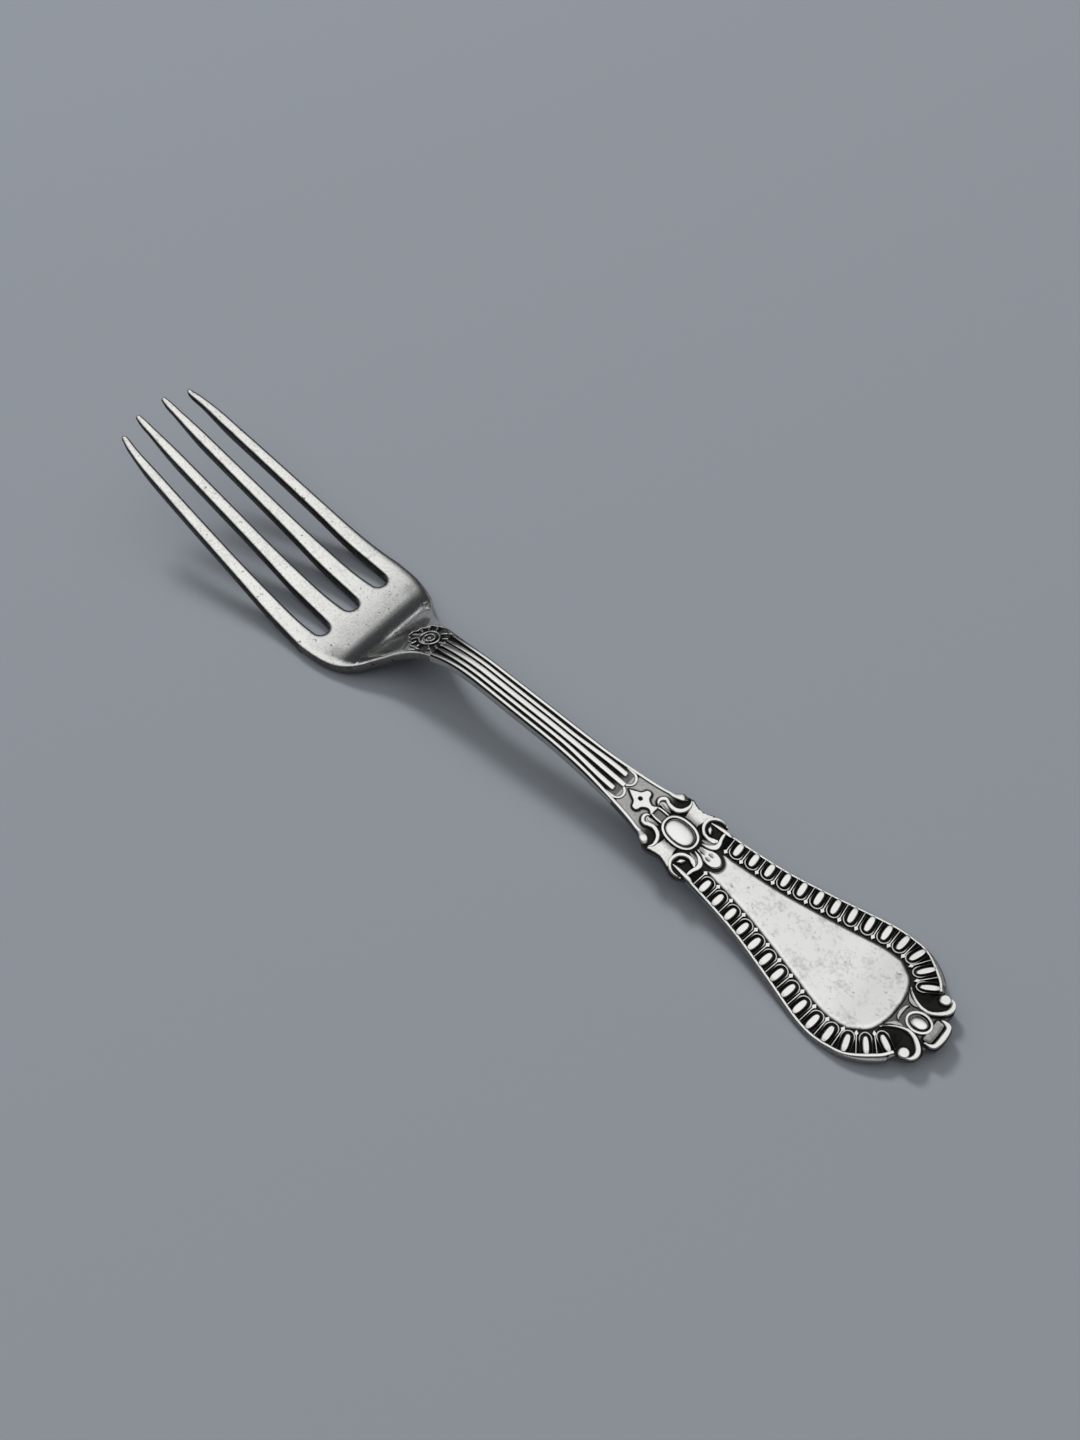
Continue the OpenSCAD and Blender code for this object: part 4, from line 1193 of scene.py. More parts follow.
@dataclass
class Head:
    """Four tines and the web that carries them."""

    bench: Bench
    tines: tuple[str, ...] = ("outer_left_tine", "inner_left_tine", "inner_right_tine", "outer_right_tine")
    step: float = 0.34  # distance between points, mm
    tip_round: Span = (0.28, 0.8)  # length of the blunt inner and the pointed outer tips, mm
    fuller: Span = (0.36, 0.28)  # how much wider to each side a tine is drawn than packed, mm
    inward: Span = (0.0, 0.15)  # how far it is drawn nearer the middle, mm
    deeper: float = 0.4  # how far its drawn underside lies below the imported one, mm
    under_edge: float = 0.5  # radius along its lower edges, mm
    tip_half: Span = (0.56, 0.34)  # least half width of the inner and the outer tips, mm
    grow_span: Span = (46.0, 58.0)  # where a tine grows fuller, mm along the fork
    grow_end: float = 90.0  # from here to the tip it falls back
    deep_span: Span = (46.0, 56.0)  # where it grows deeper
    deep_end: float = 88.0  # from here to the tip it falls back
    insets: tuple[float, ...] = (0.04, 0.12, 0.25, 0.45, 0.7)  # rows of points along its edges, mm
    edge_fade: Span = (0.02, 0.4)  # where its dark edge, tarnish and painted shade, turns bright, mm from the edge

    def build(self) -> None:
        """Makes the web and the tines."""
        rows = {name: stations(name) for name in self.tines}
        for name in self.tines:
            self.tine(name, rows[name])
        self.web(rows)

    def tine(self, name: str, rows: Array) -> None:
        """Makes one tine.

        Args:
            name: its node.
            rows: its cross sections.
        """
        low, high, under, top = (Track(rows[:, 0], rows[:, i]) for i in (1, 2, 3, 4))
        start, stop = rows[0, 0], rows[-1, 0]
        form, outer = self.bench.form, name.startswith("outer")
        tip_round, tip_half = self.tip_round[outer], self.tip_half[outer]
        x = np.arange(start, stop - tip_round, self.step)
        x = np.append(x[:-1], stop - tip_round)
        turn = np.radians(np.linspace(-90.0, 90.0, 15))
        grown = ease(*self.grow_span, x) * ease(stop, self.grow_end, x)
        away = math.copysign(1.0, low(start))
        center = 0.5 * (low(x) + high(x)) - away * self.inward[outer] * grown
        half = np.maximum(0.5 * (high(x) - low(x)), tip_half) + self.fuller[outer] * grown
        tip = np.column_stack([x[-1] + tip_round * np.cos(turn), center[-1] + half[-1] * np.sin(turn)])
        root = across(start, half[0], self.step, self.insets)
        root[:, 1] += center[0]
        sides = [np.column_stack([x[:-1], (center + way * half)[:-1]]) for way in (-1.0, 1.0)]
        outline = np.vstack([sides[0], tip, sides[1][::-1], root[-2:0:-1]])

        def upper(p: Array, d: Array) -> Array:
            """Flat top with rounded edges; the outer tines' outer edges carry on from the web's.

            Args:
                p: plan points, mm.
                d: distance of each from the edge, mm.

            Returns:
                The height of each, mm.
            """
            out = half_at(p) - away * (p[:, 1] - np.interp(p[:, 0], x, center))
            inner = np.minimum(form.slot_round, 0.65 * half_at(p))
            wide = np.minimum(form.rounding(p[:, 0]), 0.9 * half_at(p)) if outer else inner
            lost = form.web_drop[1] - form.slot_drop
            deep = form.slot_drop + lost * (1.0 - ease(*form.tine_span, p[:, 0]))
            return top(p[:, 0]) - np.maximum(fall(out, wide, deep), fall(d, inner, form.slot_drop))

        def half_at(p: Array) -> Array:
            """Half width of the tine at a point."""
            return np.interp(p[:, 0], x, half)

        def lower(p: Array, d: Array) -> Array:
            """Rounded underside.

            Args:
                p: plan points, mm.
                d: distance of each from the edge, mm.

            Returns:
                The height of each, mm.
            """
            deeper = self.deeper * ease(*self.deep_span, p[:, 0]) * ease(stop, self.deep_end, p[:, 0])
            edge = np.minimum(self.under_edge, 0.6 * half_at(p))
            return np.maximum(under(p[:, 0]) - deeper, 0.0) + fall(d, edge)

        piece = Casting.of(name)
        piece.add(
            Plan(outline, [start]),
            upper,
            lower,
            # Dark edges and side walls: tarnish, and painted shade where the walls mirror the shaded floor.
            lambda p, d: 0.26 + 0.66 * ease(*self.edge_fade, d),
            lambda p, d: 0.4 + 0.4 * ease(0.0, 0.6, d),
            self.step,
            self.insets,
        )
        dress(piece.cast(), name, Slot.POLISHED, self.bench.finishes.table)

    def web(self, rows: dict[str, Array]) -> None:
        """Makes the web with its three round slot ends.

        Args:
            rows: cross sections of the tines, which say where the slots are.
        """
        plate = Plate(self.bench, "tine_root", Slot.POLISHED, self.step, WEB_INSETS, edge_wear_and_shade=0.45)
        start, stop = ends("tine_root")
        near = self.bench.form.side(start, stop, self.step)
        shanks = sorted((rows[name][0, 1], rows[name][0, 2]) for name in self.tines)
        front = []
        for i, (low, high) in enumerate(shanks):
            shank = across(stop, 0.5 * (high - low), self.step, plate.insets)
            front.append(shank + [0.0, 0.5 * (high + low)])
            if i + 1 < len(shanks):
                after = shanks[i + 1][0]
                middle, radius = 0.5 * (high + after), 0.5 * (after - high)
                front.append(arc((stop, middle), (radius, radius), 270.0, 90.0, 33)[1:-1])
        front = np.vstack(front)
        first = across(start, float(self.bench.form.half(start)), self.step, plate.insets)
        outline = np.vstack([near[:-1] * [1.0, -1.0], front[:-1], near[:0:-1], first[:0:-1]])

        def wear_and_shade(p: Array, d: Array) -> Array:
            """Rubbed bright, a little stained at both shoulders, and dark at the edges with tarnish and
            painted shade.
            """
            shoulder = np.hypot((p[:, 0] - 37.0) / 3.0, (np.abs(p[:, 1]) - 11.0) / 2.2)
            return (0.92 - 0.12 * (1.0 - ease(0.2, 1.2, shoulder))) * (0.3 + 0.7 * ease(*self.edge_fade, d))

        # The slot ends curve away from the front line, so only the shanks' own stretches meet a neighbour.
        plate.make(outline, [start, stop], wear_and_shade, self.bench.finishes.neck)


@dataclass
class Neck:
    """The sloping shoulder and the flower on its brow."""

    bench: Bench
    step: float = 0.22  # distance between the plate's points, mm
    line: float = 0.22  # half width of the flower's edge, mm
    height: float = 0.5  # its height, mm
    flower_at: float = 3.6  # its middle, mm from the neck's stem end

    def build(self) -> None:
        """Makes the flower first, because the ground is black inside its edge."""
        start, stop = ends("neck")
        edge = self.flower(start + self.flower_at)
        behind, wide = start - 1.0, 3.2  # how far back and out the black ground reaches, mm
        hem = np.vstack([edge[::-1], [[behind, wide], [behind, -wide]], edge * [1.0, -1.0]])
        bed = Plan(hem[::-1])
        plate = Plate(self.bench, "neck", Slot.SATIN, self.step, WEB_INSETS, edge_wear_and_shade=0.5)

        def wear_and_shade(p: Array, d: Array) -> Array:
            """Black inside the flower's edge, polished outside it."""
            inside = np.where(bed.holds(p), -1.0, 1.0) * bed.distance(p)
            return 0.25 + 0.65 * ease(-0.15, 0.2, inside)

        plate.make(plate.outline(start, stop), [start, stop], wear_and_shade, self.bench.finishes.neck)

    def flower(self, place: float) -> Array:
        """Makes the flower: an eye in two rings, a lobed edge and the leaves between them.

        Args:
            place: its middle, mm along the fork.

        Returns:
            The +y half of its edge, as plan points.
        """
        relief, high = self.bench.relief, self.height
        flower = Casting.of("neck_rosette")
        eye = oval((place, 0.0), (0.62, 0.5))
        relief.raise_form(flower, eye, high, 0.45, Crown.CUSHION, FINE, bright=0.8, both=False)
        for radius, line in (((1.25, 1.0), 0.2), ((2.3, 1.85), 0.24)):
            rows = even(oval((place, 0.0), radius, 72), line)
            for first in (0, 36):
                part = np.roll(rows, -first, axis=0)[:37]
                relief.raise_form(flower, ribbon(part, FINE), high, line, step=FINE, both=False)
        lobes = (
            (5.6, 0.0), (5.5, 0.6), (5.05, 1.0), (4.5, 1.05), (4.4, 1.6), (4.0, 2.1), (3.4, 2.25), (3.0, 2.3),
            (2.75, 2.85), (2.2, 3.3), (1.5, 3.35), (0.9, 3.3), (0.2, 3.55), (-0.8, 3.45),
        )
        edge = flow([(place + x, y) for x, y in lobes], count=6)
        half = self.line * (1.0 - 0.6 * ease(-0.3, -0.8, edge[:, 0] - place))
        for side in (1.0, -1.0):
            rows = np.column_stack([edge * [1.0, side], half])
            shape = ribbon(rows if side > 0 else rows[::-1], FINE)
            relief.raise_form(flower, shape, high, self.line, step=FINE, both=False)
        leaves = (
            ((3.0, 0.0, 0.2), (4.6, 0.0, 0.42)),
            ((2.7, 0.9, 0.15), (3.7, 1.45, 0.34)),
            ((1.9, 1.75, 0.15), (2.5, 2.6, 0.32)),
            ((0.3, 2.3, 0.15), (0.6, 2.95, 0.25)),
            ((-1.6, 1.9, 0.2), (-2.3, 2.5, 0.3)),
            ((-2.6, 2.4, 0.15), (-3.3, 3.0, 0.28)),
            ((-2.7, 1.0, 0.2), (-3.5, 1.5, 0.28)),
            ((-3.1, 0.2, 0.12), (-3.8, 0.55, 0.2)),
        )
        for (x0, y0, h0), (x1, y1, h1) in leaves:
            row = paced(np.array([[place + x0, y0, h0], [place + x1, y1, h1]]), 0.2)
            relief.raise_form(flower, ribbon(row, FINE), 0.42, 0.28, step=FINE, bright=0.9, both=y0 > 0.0)
        self.bench.finish(flower)
        return edge


@dataclass
class Stem:
    """The narrow shank with its threads, reeds and band."""

    bench: Bench
    step: float = 0.3  # distance between the plate's points, mm
    thread: float = 0.31  # half width of an edge thread, mm
    thread_inset: float = 0.64  # from the stem's edge, mm
    thread_drift: float = 0.3  # how far it nears the edge in the collar, mm
    reed: float = 0.38  # half width of a reed, mm
    reed_end: float = 0.56  # half width of a reed at the collar, mm
    band: float = 0.57  # half width of the middle band, mm

    def build(self) -> None:
        """Makes the stem and what runs along it."""
        start, stop = ends("stem")
        plate = Plate(self.bench, "stem", Slot.OXIDISED, self.step, edge_wear_and_shade=0.8)

        def wear_and_shade(p: Array, d: Array) -> Array:
            """Black between the reeds, grey in the pockets before the collar."""
            return 0.08 + 0.4 * ease(-26.4, -28.2, p[:, 0])

        plate.make(plate.outline(start, stop), [start, stop], wear_and_shade, self.bench.finishes.ground)
        self.threads(stop + 1.5)
        self.reeds(stop + 1.2)
        self.middle(stop + 1.6)

    def threads(self, first: float) -> None:
        """Makes the two threads along the edges, with hooked ends in the collar.

        Args:
            first: where they start, mm along the fork.
        """
        bench, taper = self.bench, 12  # points over which a thread grows to its width
        x = np.arange(first, -36.0, -0.22)
        edge = bench.form.half(x) - self.thread_inset + self.thread_drift * ease(-20.0, -33.0, x)
        lead = even(np.column_stack([x, edge]), self.thread)
        hook = flow([
            (-36.7, 5.0, 0.38), (-37.3, 5.25, 0.58), (-38.0, 5.6, 0.78),
            (-38.6, 5.95, 0.72), (-39.1, 6.3, 0.4),
        ])
        line = paced(np.vstack([lead, hook]), 0.2)
        line[:taper, 2] *= np.linspace(0.35, 1.0, taper)
        lines = pair(line)
        bench.relief.lines += [p[:, :2] for p, _ in lines]
        bench.sweep("edge_threads", lines, 0.95)

    def reeds(self, first: float) -> None:
        """Makes the two reeds, pointed at the neck and round at the collar.

        Args:
            first: where they start, mm along the fork.
        """
        x = np.arange(first, -28.15, -0.2)
        wide = ease(-14.0, -27.0, x)
        line = np.column_stack([x, 1.3 + 0.61 * wide, self.reed + (self.reed_end - self.reed) * wide])
        line[:, 2] *= 0.12 + 0.88 * ease(0.0, 4.0, first - x)
        line[:, 2] *= np.sqrt(np.clip(1.0 - np.clip(1.0 - (x + 28.2) / 0.6, 0.0, 1.0) ** 2, 0.04, 1.0))
        self.bench.sweep("stem_reeds", pair(line), 0.85)

    def middle(self, first: float) -> None:
        """Makes the flat middle band and the two arches that it ends in.

        Args:
            first: where it starts, mm along the fork.
        """
        x = np.arange(first, -28.95, -0.2)
        line = even(np.column_stack([x, np.zeros(len(x))]), self.band)
        line[:, 2] *= 0.2 + 0.8 * ease(0.0, 3.0, first - x)
        turn = np.vstack([
            [[-26.9, 3.28, 0.2], [-27.8, 3.26, 0.25]],
            even(arc((-28.4, 1.74), (1.55, 1.5), 108.0, 246.0, 24), 0.27),
            [[-28.95, 0.12, 0.22]],
        ])
        lines = [(line, False), *pair(paced(turn, 0.15))]
        self.bench.relief.lines += [p[:, :2] for p, _ in lines]
        self.bench.sweep("center_band", lines, 0.85, 0.97)


@dataclass
class Jewel:
    """An oval boss in its ring."""

    bench: Bench
    ring_node: str
    boss_node: str
    blunt: float  # 2 is an ellipse, and more is fuller at the shoulders
    rise: float  # height of the ring for each mm of its half width
    pace: float  # distance between points along the ring, mm
    spare: Span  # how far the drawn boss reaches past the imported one, mm
    foot: float  # height of the boss at its edge, mm
    dome: float  # height of its cabochon above that, mm
    step: float  # distance between its points, mm
    count: int  # points of its outline
    line: float = 0.28  # half width of the ring, mm
    crest: float = 0.2  # width of the boss's edge, mm

    def __post_init__(self) -> None:
        """Reads the ring's place and half axes from the frame."""
        low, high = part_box(self.ring_node)
        self.at = 0.5 * (low[0] + high[0]) / MM
        self.half = (0.5 * (high[0] - low[0]) / MM, high[1] / MM)

    def build(self) -> None:
        """Makes the ring, then the boss."""
        relief, middle = self.bench.relief, (self.half[0] - self.line, self.half[1] - self.line)
        path = paced(oval((self.at, 0.0), middle, blunt=self.blunt), self.pace, closed=True)
        relief.lines.append(path)
        self.bench.sweep(self.ring_node, [(even(path, self.line), True)], self.rise)
        low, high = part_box(self.boss_node)
        radius = (0.5 * (high[0] - low[0]) / MM + self.spare[0], high[1] / MM + self.spare[1])

        def dome(p: Array, d: Array) -> Array:
            """A low cabochon."""
            away = np.abs((p - [self.at, 0.0]) / radius) ** self.blunt
            return self.dome * np.sqrt(np.clip(1.0 - away[:, 0] - away[:, 1], 0.0, 1.0))

        boss = Casting.of(self.boss_node)
        shape = oval((self.at, 0.0), radius, self.count, self.blunt)
        relief.raise_form(
            boss, shape, self.foot, self.crest, step=self.step, both=False, extra=dome, edge=self.crest
        )
        self.bench.finish(boss)


@dataclass
class Collar:
    """The swollen part between stem and handle, with its fleur, scrolls, oval and leaves."""

    bench: Bench
    step: float = 0.22  # distance between the plate's points, mm

    def build(self) -> None:
        """Makes the ornament, then the ground that darkens round it."""
        jewel = Jewel(
            self.bench, "oval_ring", "oval_boss", blunt=2.25, rise=1.45, pace=0.18, spare=(0.1, 0.16),
            foot=0.2, dome=0.62, step=0.15, count=72,
        )
        self.fleur()
        self.upper_scrolls()
        jewel.build()
        self.straps(jewel)
        self.lower_scrolls()
        self.petal()
        self.stops()
        self.ground()

    def fleur(self) -> None:
        """Makes the flat arrow-shaped flower with its punched dot and its two arms."""
        relief, made = self.bench.relief, Casting.of("fleur")
        half = [
            (-29.86, 0.0), (-30.6, 0.42), (-31.4, 0.85), (-32.0, 1.2), (-32.3, 1.75), (-32.55, 2.25),
            (-33.1, 2.5), (-33.65, 2.38), (-33.95, 1.9), (-34.1, 1.3), (-34.6, 0.82), (-35.1, 0.62),
            (-35.6, 0.72), (-36.0, 1.15), (-36.3, 1.2), (-36.45, 0.8), (-36.4, 0.0),
        ]
        dot = np.array([-32.8, 0.0])

        def punch(p: Array, d: Array) -> Array:
            """The dot's hollow."""
            return -0.34 * (1.0 - ease(0.26, 0.46, np.linalg.norm(p - dot, axis=1)))

        relief.raise_form(
            made, twin(half, 8), 0.42, 0.5, Crown.FLAT, 0.14, both=False, extra=punch, edge=0.1,
            shade=lambda p, d: 0.06 + 0.94 * ease(0.28, 0.5, np.linalg.norm(p - dot, axis=1)),
        )
        arm = flow([
            (-36.45, 0.95, 0.2), (-37.1, 1.05, 0.22), (-37.8, 1.08, 0.22),
            (-38.4, 1.05, 0.2), (-38.75, 1.12, 0.12),
        ])
        relief.raise_form(made, ribbon(arm, FINE), 0.42, 0.2, Crown.FLAT, FINE)
        self.bench.finish(made)

    def upper_scrolls(self) -> None:
        """Makes the pair of leaf-headed scrolls beside the oval."""
        made = Casting.of("upper_scrolls")
        line = flow([
            (-36.1, 1.45, 0.25), (-35.65, 1.85, 0.38), (-35.58, 2.5, 0.45), (-35.95, 3.12, 0.46),
            (-36.5, 3.32, 0.45), (-37.2, 3.0, 0.46), (-38.2, 2.75, 0.5), (-39.2, 3.0, 0.52),
            (-39.95, 3.65, 0.5), (-40.35, 4.6, 0.46), (-40.4, 5.6, 0.38), (-40.0, 6.4, 0.25),
        ])
        relief = self.bench.relief
        relief.raise_form(made, ribbon(line, CLOSE), 0.58, 0.5, Crown.FLAT, WIDE)
        leaf = flow([
            (-36.0, 1.8, 0.35), (-36.45, 2.15, 0.66),
            (-37.1, 2.1, 0.66), (-37.9, 1.9, 0.5), (-38.5, 1.8, 0.3),
        ])
        # The leaf greys towards its tail: painted shade in its hollow.
        relief.raise_form(
            made, ribbon(leaf, CLOSE), 0.36, 0.4, step=WIDE, bright=0.8,
            extra=lambda p, d: -0.12 * ease(0.2, 0.6, d),
            shade=lambda p, d: 1.0 - 0.35 * ease(-36.4, -38.4, p[:, 0]),
        )
        self.bench.finish(made)

    def straps(self, jewel: Jewel) -> None:
        """Makes the smooth saddles that join the oval to the edges.

        Args:
            jewel: the oval.
        """
        made, relief = Casting.of("side_straps"), self.bench.relief
        x, (a, b) = jewel.at, jewel.half
        inner = arc((x, 0.0), (a + 0.12, b + 0.12), 67.0, 113.0, 14)
        near = flow([
            (x - 1.7, b - 0.1), (x - 1.72, 3.5), (x - 1.95, 4.5), (x - 2.35, 5.4), (x - 2.75, 6.1),
        ])[1:]
        far = flow([(x + 2.7, 6.3), (x + 2.2, 5.5), (x + 1.8, 4.6), (x + 1.6, 3.5), (x + 1.65, b - 0.1)])[:-1]
        edge = self.bench.form.side(x - 2.7, x + 2.6, 0.2) - [0.0, 0.04]
        outline = np.vstack([inner, near, edge, far])

        def saddle(p: Array, d: Array) -> Array:
            """Hollow along the middle."""
            return 0.2 * np.clip((p[:, 0] - x) / 2.0, -1.0, 1.0) ** 2

        def shade(p: Array, d: Array) -> Array:
            """Painted shade, darker towards the ring."""
            return 0.62 + 0.38 * ease(3.0, 4.6, np.abs(p[:, 1]))

        relief.raise_form(
            made, outline, 0.3, 0.4, Crown.FLAT, 0.16, extra=saddle, bright=0.92, shade=shade, edge=0.06
        )
        self.bench.finish(made, Slot.SATIN)

    def lower_scrolls(self) -> None:
        """Makes the pair of open rings that the rim runs into, each with its bead."""
        made, relief = Casting.of("lower_scrolls"), self.bench.relief
        line = flow([
            (-48.1, 7.0, 0.16), (-46.8, 7.25, 0.28), (-45.6, 6.9, 0.38), (-44.75, 6.0, 0.44),
            (-44.55, 5.0, 0.46), (-44.85, 3.85, 0.44), (-45.6, 3.05, 0.42), (-46.4, 2.75, 0.42),
            (-47.2, 2.75, 0.5), (-47.9, 3.0, 0.6), (-48.45, 3.4, 0.4),
        ])
        relief.raise_form(made, ribbon(line, CLOSE), 0.58, 0.5, Crown.FLAT, WIDE)
        bead = flow([(-45.65, 4.95, 0.2), (-46.0, 4.4, 0.48), (-46.45, 3.85, 0.3)])
        relief.raise_form(made, ribbon(bead, FINE), 0.5, 0.3, step=FINE, bright=0.95)
        self.bench.finish(made)

    def petal(self) -> None:
        """Makes the veined petal that hangs from the oval on to the handle."""
        made, relief = Casting.of("petal"), self.bench.relief
        half = [
            (-46.66, 0.0), (-46.7, 0.5), (-47.5, 0.75), (-48.3, 1.05), (-49.0, 1.42),
            (-50.0, 1.6), (-51.0, 1.35), (-51.75, 0.72), (-52.05, 0.0),
        ]

        def dimple(p: Array) -> Array:
            """1 in the two dimples, 0 outside them."""
            return 1.0 - ease(0.1, 0.6, np.hypot(0.7 * (p[:, 0] + 49.4), np.abs(p[:, 1]) - 0.5))

        def hollow(p: Array) -> Array:
            """1 in the hollow towards the oval, 0 outside it."""
            return ease(-49.0, -47.6, p[:, 0]) * (1.0 - ease(0.2, 0.65, np.abs(p[:, 1])))

        # The dimples and the hollow are sunk, and also greyed with painted shade.
        relief.raise_form(
            made, twin(half, 9), 0.58, 0.62, Crown.FLAT, 0.11, both=False,
            extra=lambda p, d: -0.12 * dimple(p) - 0.16 * hollow(p),
            shade=lambda p, d: 1.0 - 0.3 * dimple(p) - 0.36 * hollow(p),
        )
        self.bench.finish(made)

    def stops(self) -> None:
        """Makes the folded leaves that close the border beside the petal."""
        made = Casting.of("border_stops")
        relief = self.bench.relief
        fold = flow([(-46.3, 1.8, 0.3), (-47.1, 1.95, 0.5), (-48.0, 2.35, 0.55), (-48.5, 3.0, 0.4)])
        relief.raise_form(made, ribbon(fold, CLOSE), 0.3, 0.3, step=WIDE, bright=0.6)
        leaf = flow([
            (-46.75, 1.05, 0.2), (-47.6, 1.3, 0.34), (-48.4, 1.75, 0.5), (-49.0, 2.4, 0.58),
            (-49.05, 3.3, 0.5), (-48.75, 4.2, 0.42), (-48.6, 5.0, 0.4), (-48.55, 5.65, 0.3),
        ])
        relief.raise_form(made, ribbon(leaf, CLOSE), 0.5, 0.42, Crown.FLAT, CLOSE)
        self.bench.finish(made)

    def ground(self) -> None:
        """Makes the collar's plate: matt grey, black close to the ornament."""
        relief = self.bench.relief
        start, stop = ends("collar")
        plate = Plate(self.bench, "collar", Slot.OXIDISED, self.step, edge_wear_and_shade=0.4)

        def wear_and_shade(p: Array, d: Array) -> Array:
            """Dark in the folds, grey in the cup between the fleur's arms.

            Args:
                p: plan points, mm.
                d: distance of each from the edge, mm.

            Returns:
                The wear of each.
            """
            x, y = p[:, 0], np.abs(p[:, 1])
            dark = 1.0 - 0.8 * ease(-35.5, -38.5, x)
            cup = ease(-36.2, -36.6, x) * (1.0 - ease(-38.2, -38.8, x)) * (1.0 - ease(0.7, 1.0, y))
            return np.maximum(0.05 + 0.68 * ease(0.04, 0.45, relief.gap(p)) * dark, 0.55 * cup)

        plate.make(plate.outline(start, stop), [start, stop], wear_and_shade, self.bench.finishes.ground)


@dataclass
class Handle:
    """The pear-shaped blade with its rim, egg-and-dart border and plain field."""

    bench: Bench
    step: float = 0.26  # distance between the plate's points, mm
    rim: float = 0.24  # half width of the rim, mm
    rim_land: float = 0.16  # plain edge left outside the rim, mm
    rim_span: Span = (-50.0, -96.6)  # where it follows the edge, mm along the fork
    bevel: float = 0.6  # how much wider the plain edge is near the end, mm
    sheet_span: Span = (-102.0, -46.0)  # reach of the guide that the border is laid on, mm
    eggs: int = 14  # on each side
    border: Span = (4.35, 5.2)  # border width at the collar and at the widest place, mm
    pattern: float = 5.0  # border width that the motifs are drawn for, mm
    field_gap: float = -0.25  # from the border to the field, which laps over it, mm
    lean: float = 0.5  # how far motifs on the flank turn with the edge: 1 is square to it
    egg_first: float = -52.0  # place of the first egg, mm along the fork
    egg_last: float = -96.3  # place of the last one

    def build(self) -> None:
        """Makes the blade and what stands on it."""
        start, stop = ends("handle_blade")

        def wear_and_shade(p: Array, d: Array) -> Array:
            """Black in the border, dull grey outside the rim and towards the field.

            Args:
                p: plan points, mm.
                d: distance of each from the edge, mm.

            Returns:
                The wear of each.
            """
            x = p[:, 0]
            scroll = np.interp(x, (-95.0, -93.4, -92.1, -91.1, -90.6), (2.55, 3.1, 3.95, 4.9, 20.0))
            inner = 0.22 * ease(3.4, 4.4, d) + 0.2 * ease(-90.6, -91.4, x) * ease(5.0, 6.0, d)
            inner = inner * (1.0 - 0.7 * ease(0.0, 0.2, np.abs(p[:, 1]) - scroll))
            outer = self.land(x) * ease(-52.0, -56.0, x)
            return 0.03 + inner + 0.6 * (1.0 - ease(outer, outer + 0.15, d))

        plate = Plate(self.bench, "handle_blade", Slot.OXIDISED, self.step, edge_wear_and_shade=0.62)
        plate.make(plate.outline(start, stop), [start, stop], wear_and_shade, self.bench.finishes.ground)
        self.make_rim()
        sheet = self.bench.form.sheet(*self.sheet_span)
        self.make_border(sheet)
        drop(sheet)
        self.make_field()

    def inward(self, x: Array, inset: Array) -> Array:
        """Points at a distance from the +y edge, square to it.

        Args:
            x: places along the edge, mm.
            inset: distance from the edge, mm.

        Returns:
            Plan points.
        """
        form = self.bench.form
        slope = form.slope(x)
        size = np.sqrt(1.0 + slope**2)
        return np.column_stack([x + slope / size * inset, form.half(x) - inset / size])

    def land(self, x: Array) -> Array:
        """Width of the plain edge outside the rim, mm."""
        return self.rim_land + self.bevel * ease(-87.0, -95.0, x)

    def border_width(self, x: Array) -> Array:
        """Width of the border along the handle, mm."""
        return self.border[0] + (self.border[1] - self.border[0]) * ease(-52.0, -86.0, x)

    def make_rim(self) -> None:
        """Makes the bright rim, which starts as a blade inside the lower scroll."""
        x = np.arange(*self.rim_span, -0.25)
        half = self.rim + 0.08 * ease(-89.0, -94.0, x)
        body = np.column_stack([self.inward(x, half + self.land(x)), half])
        lead = flow([
            (-45.3, 5.75, 0.1), (-46.5, 5.85, 0.3), (-48.0, 6.0, 0.42), (-49.3, 6.08, 0.4), body[0],
        ])[:-1]
        self.bench.sweep("handle_rim", pair(paced(np.vstack([lead, body]), 0.24)), 1.4)

    def middle_line(self, first: float, last: float) -> list[Array]:
        """Middle of the border on both sides, running so that the field is on its left.

        Args:
            first: place of the first motif, mm.
            last: place of the last motif, mm.

        Returns:
            Two lines with rows of x, y, reach, width and turn.
        """
        x = np.arange(first, last - 0.1, -0.2)
        wide = self.border_width(x)
        inset = 0.5 * wide + self.land(x) - self.rim_land
        narrow = 1.0 - 0.16 * ease(-86.0, -92.0, x)
        row = np.column_stack([self.inward(x, inset), wide / self.pattern, narrow])
        lines = []
        for line in (row, row[::-1] * [1.0, -1.0, 1.0, 1.0]):
            way = np.gradient(line[:, :2], axis=0)
            lean = self.lean + (1.0 - self.lean) * ease(-82.0, -90.0, line[:, 0])
            lines.append(np.column_stack([line, np.unwrap(np.arctan2(way[:, 1] * lean, way[:, 0]))]))
        return lines

    def make_border(self, sheet: bpy.types.Object) -> None:
        """Makes the eggs, the lines round them and the darts between them.

        Args:
            sheet: the ground that they are laid on.
        """
        bench, relief = self.bench, self.bench.relief
        pitch = (self.egg_first - self.egg_last) / (self.eggs - 1)
        edge = -0.5 * self.pattern + 0.6  # the rim's inner side, from the border's middle
        egg, egg_line, dart = (Casting(n) for n in ("egg_motif", "egg_line_motif", "dart_motif"))
        body = oval((0.0, -0.27), (0.8, 1.87), 40, blunt=2.5)
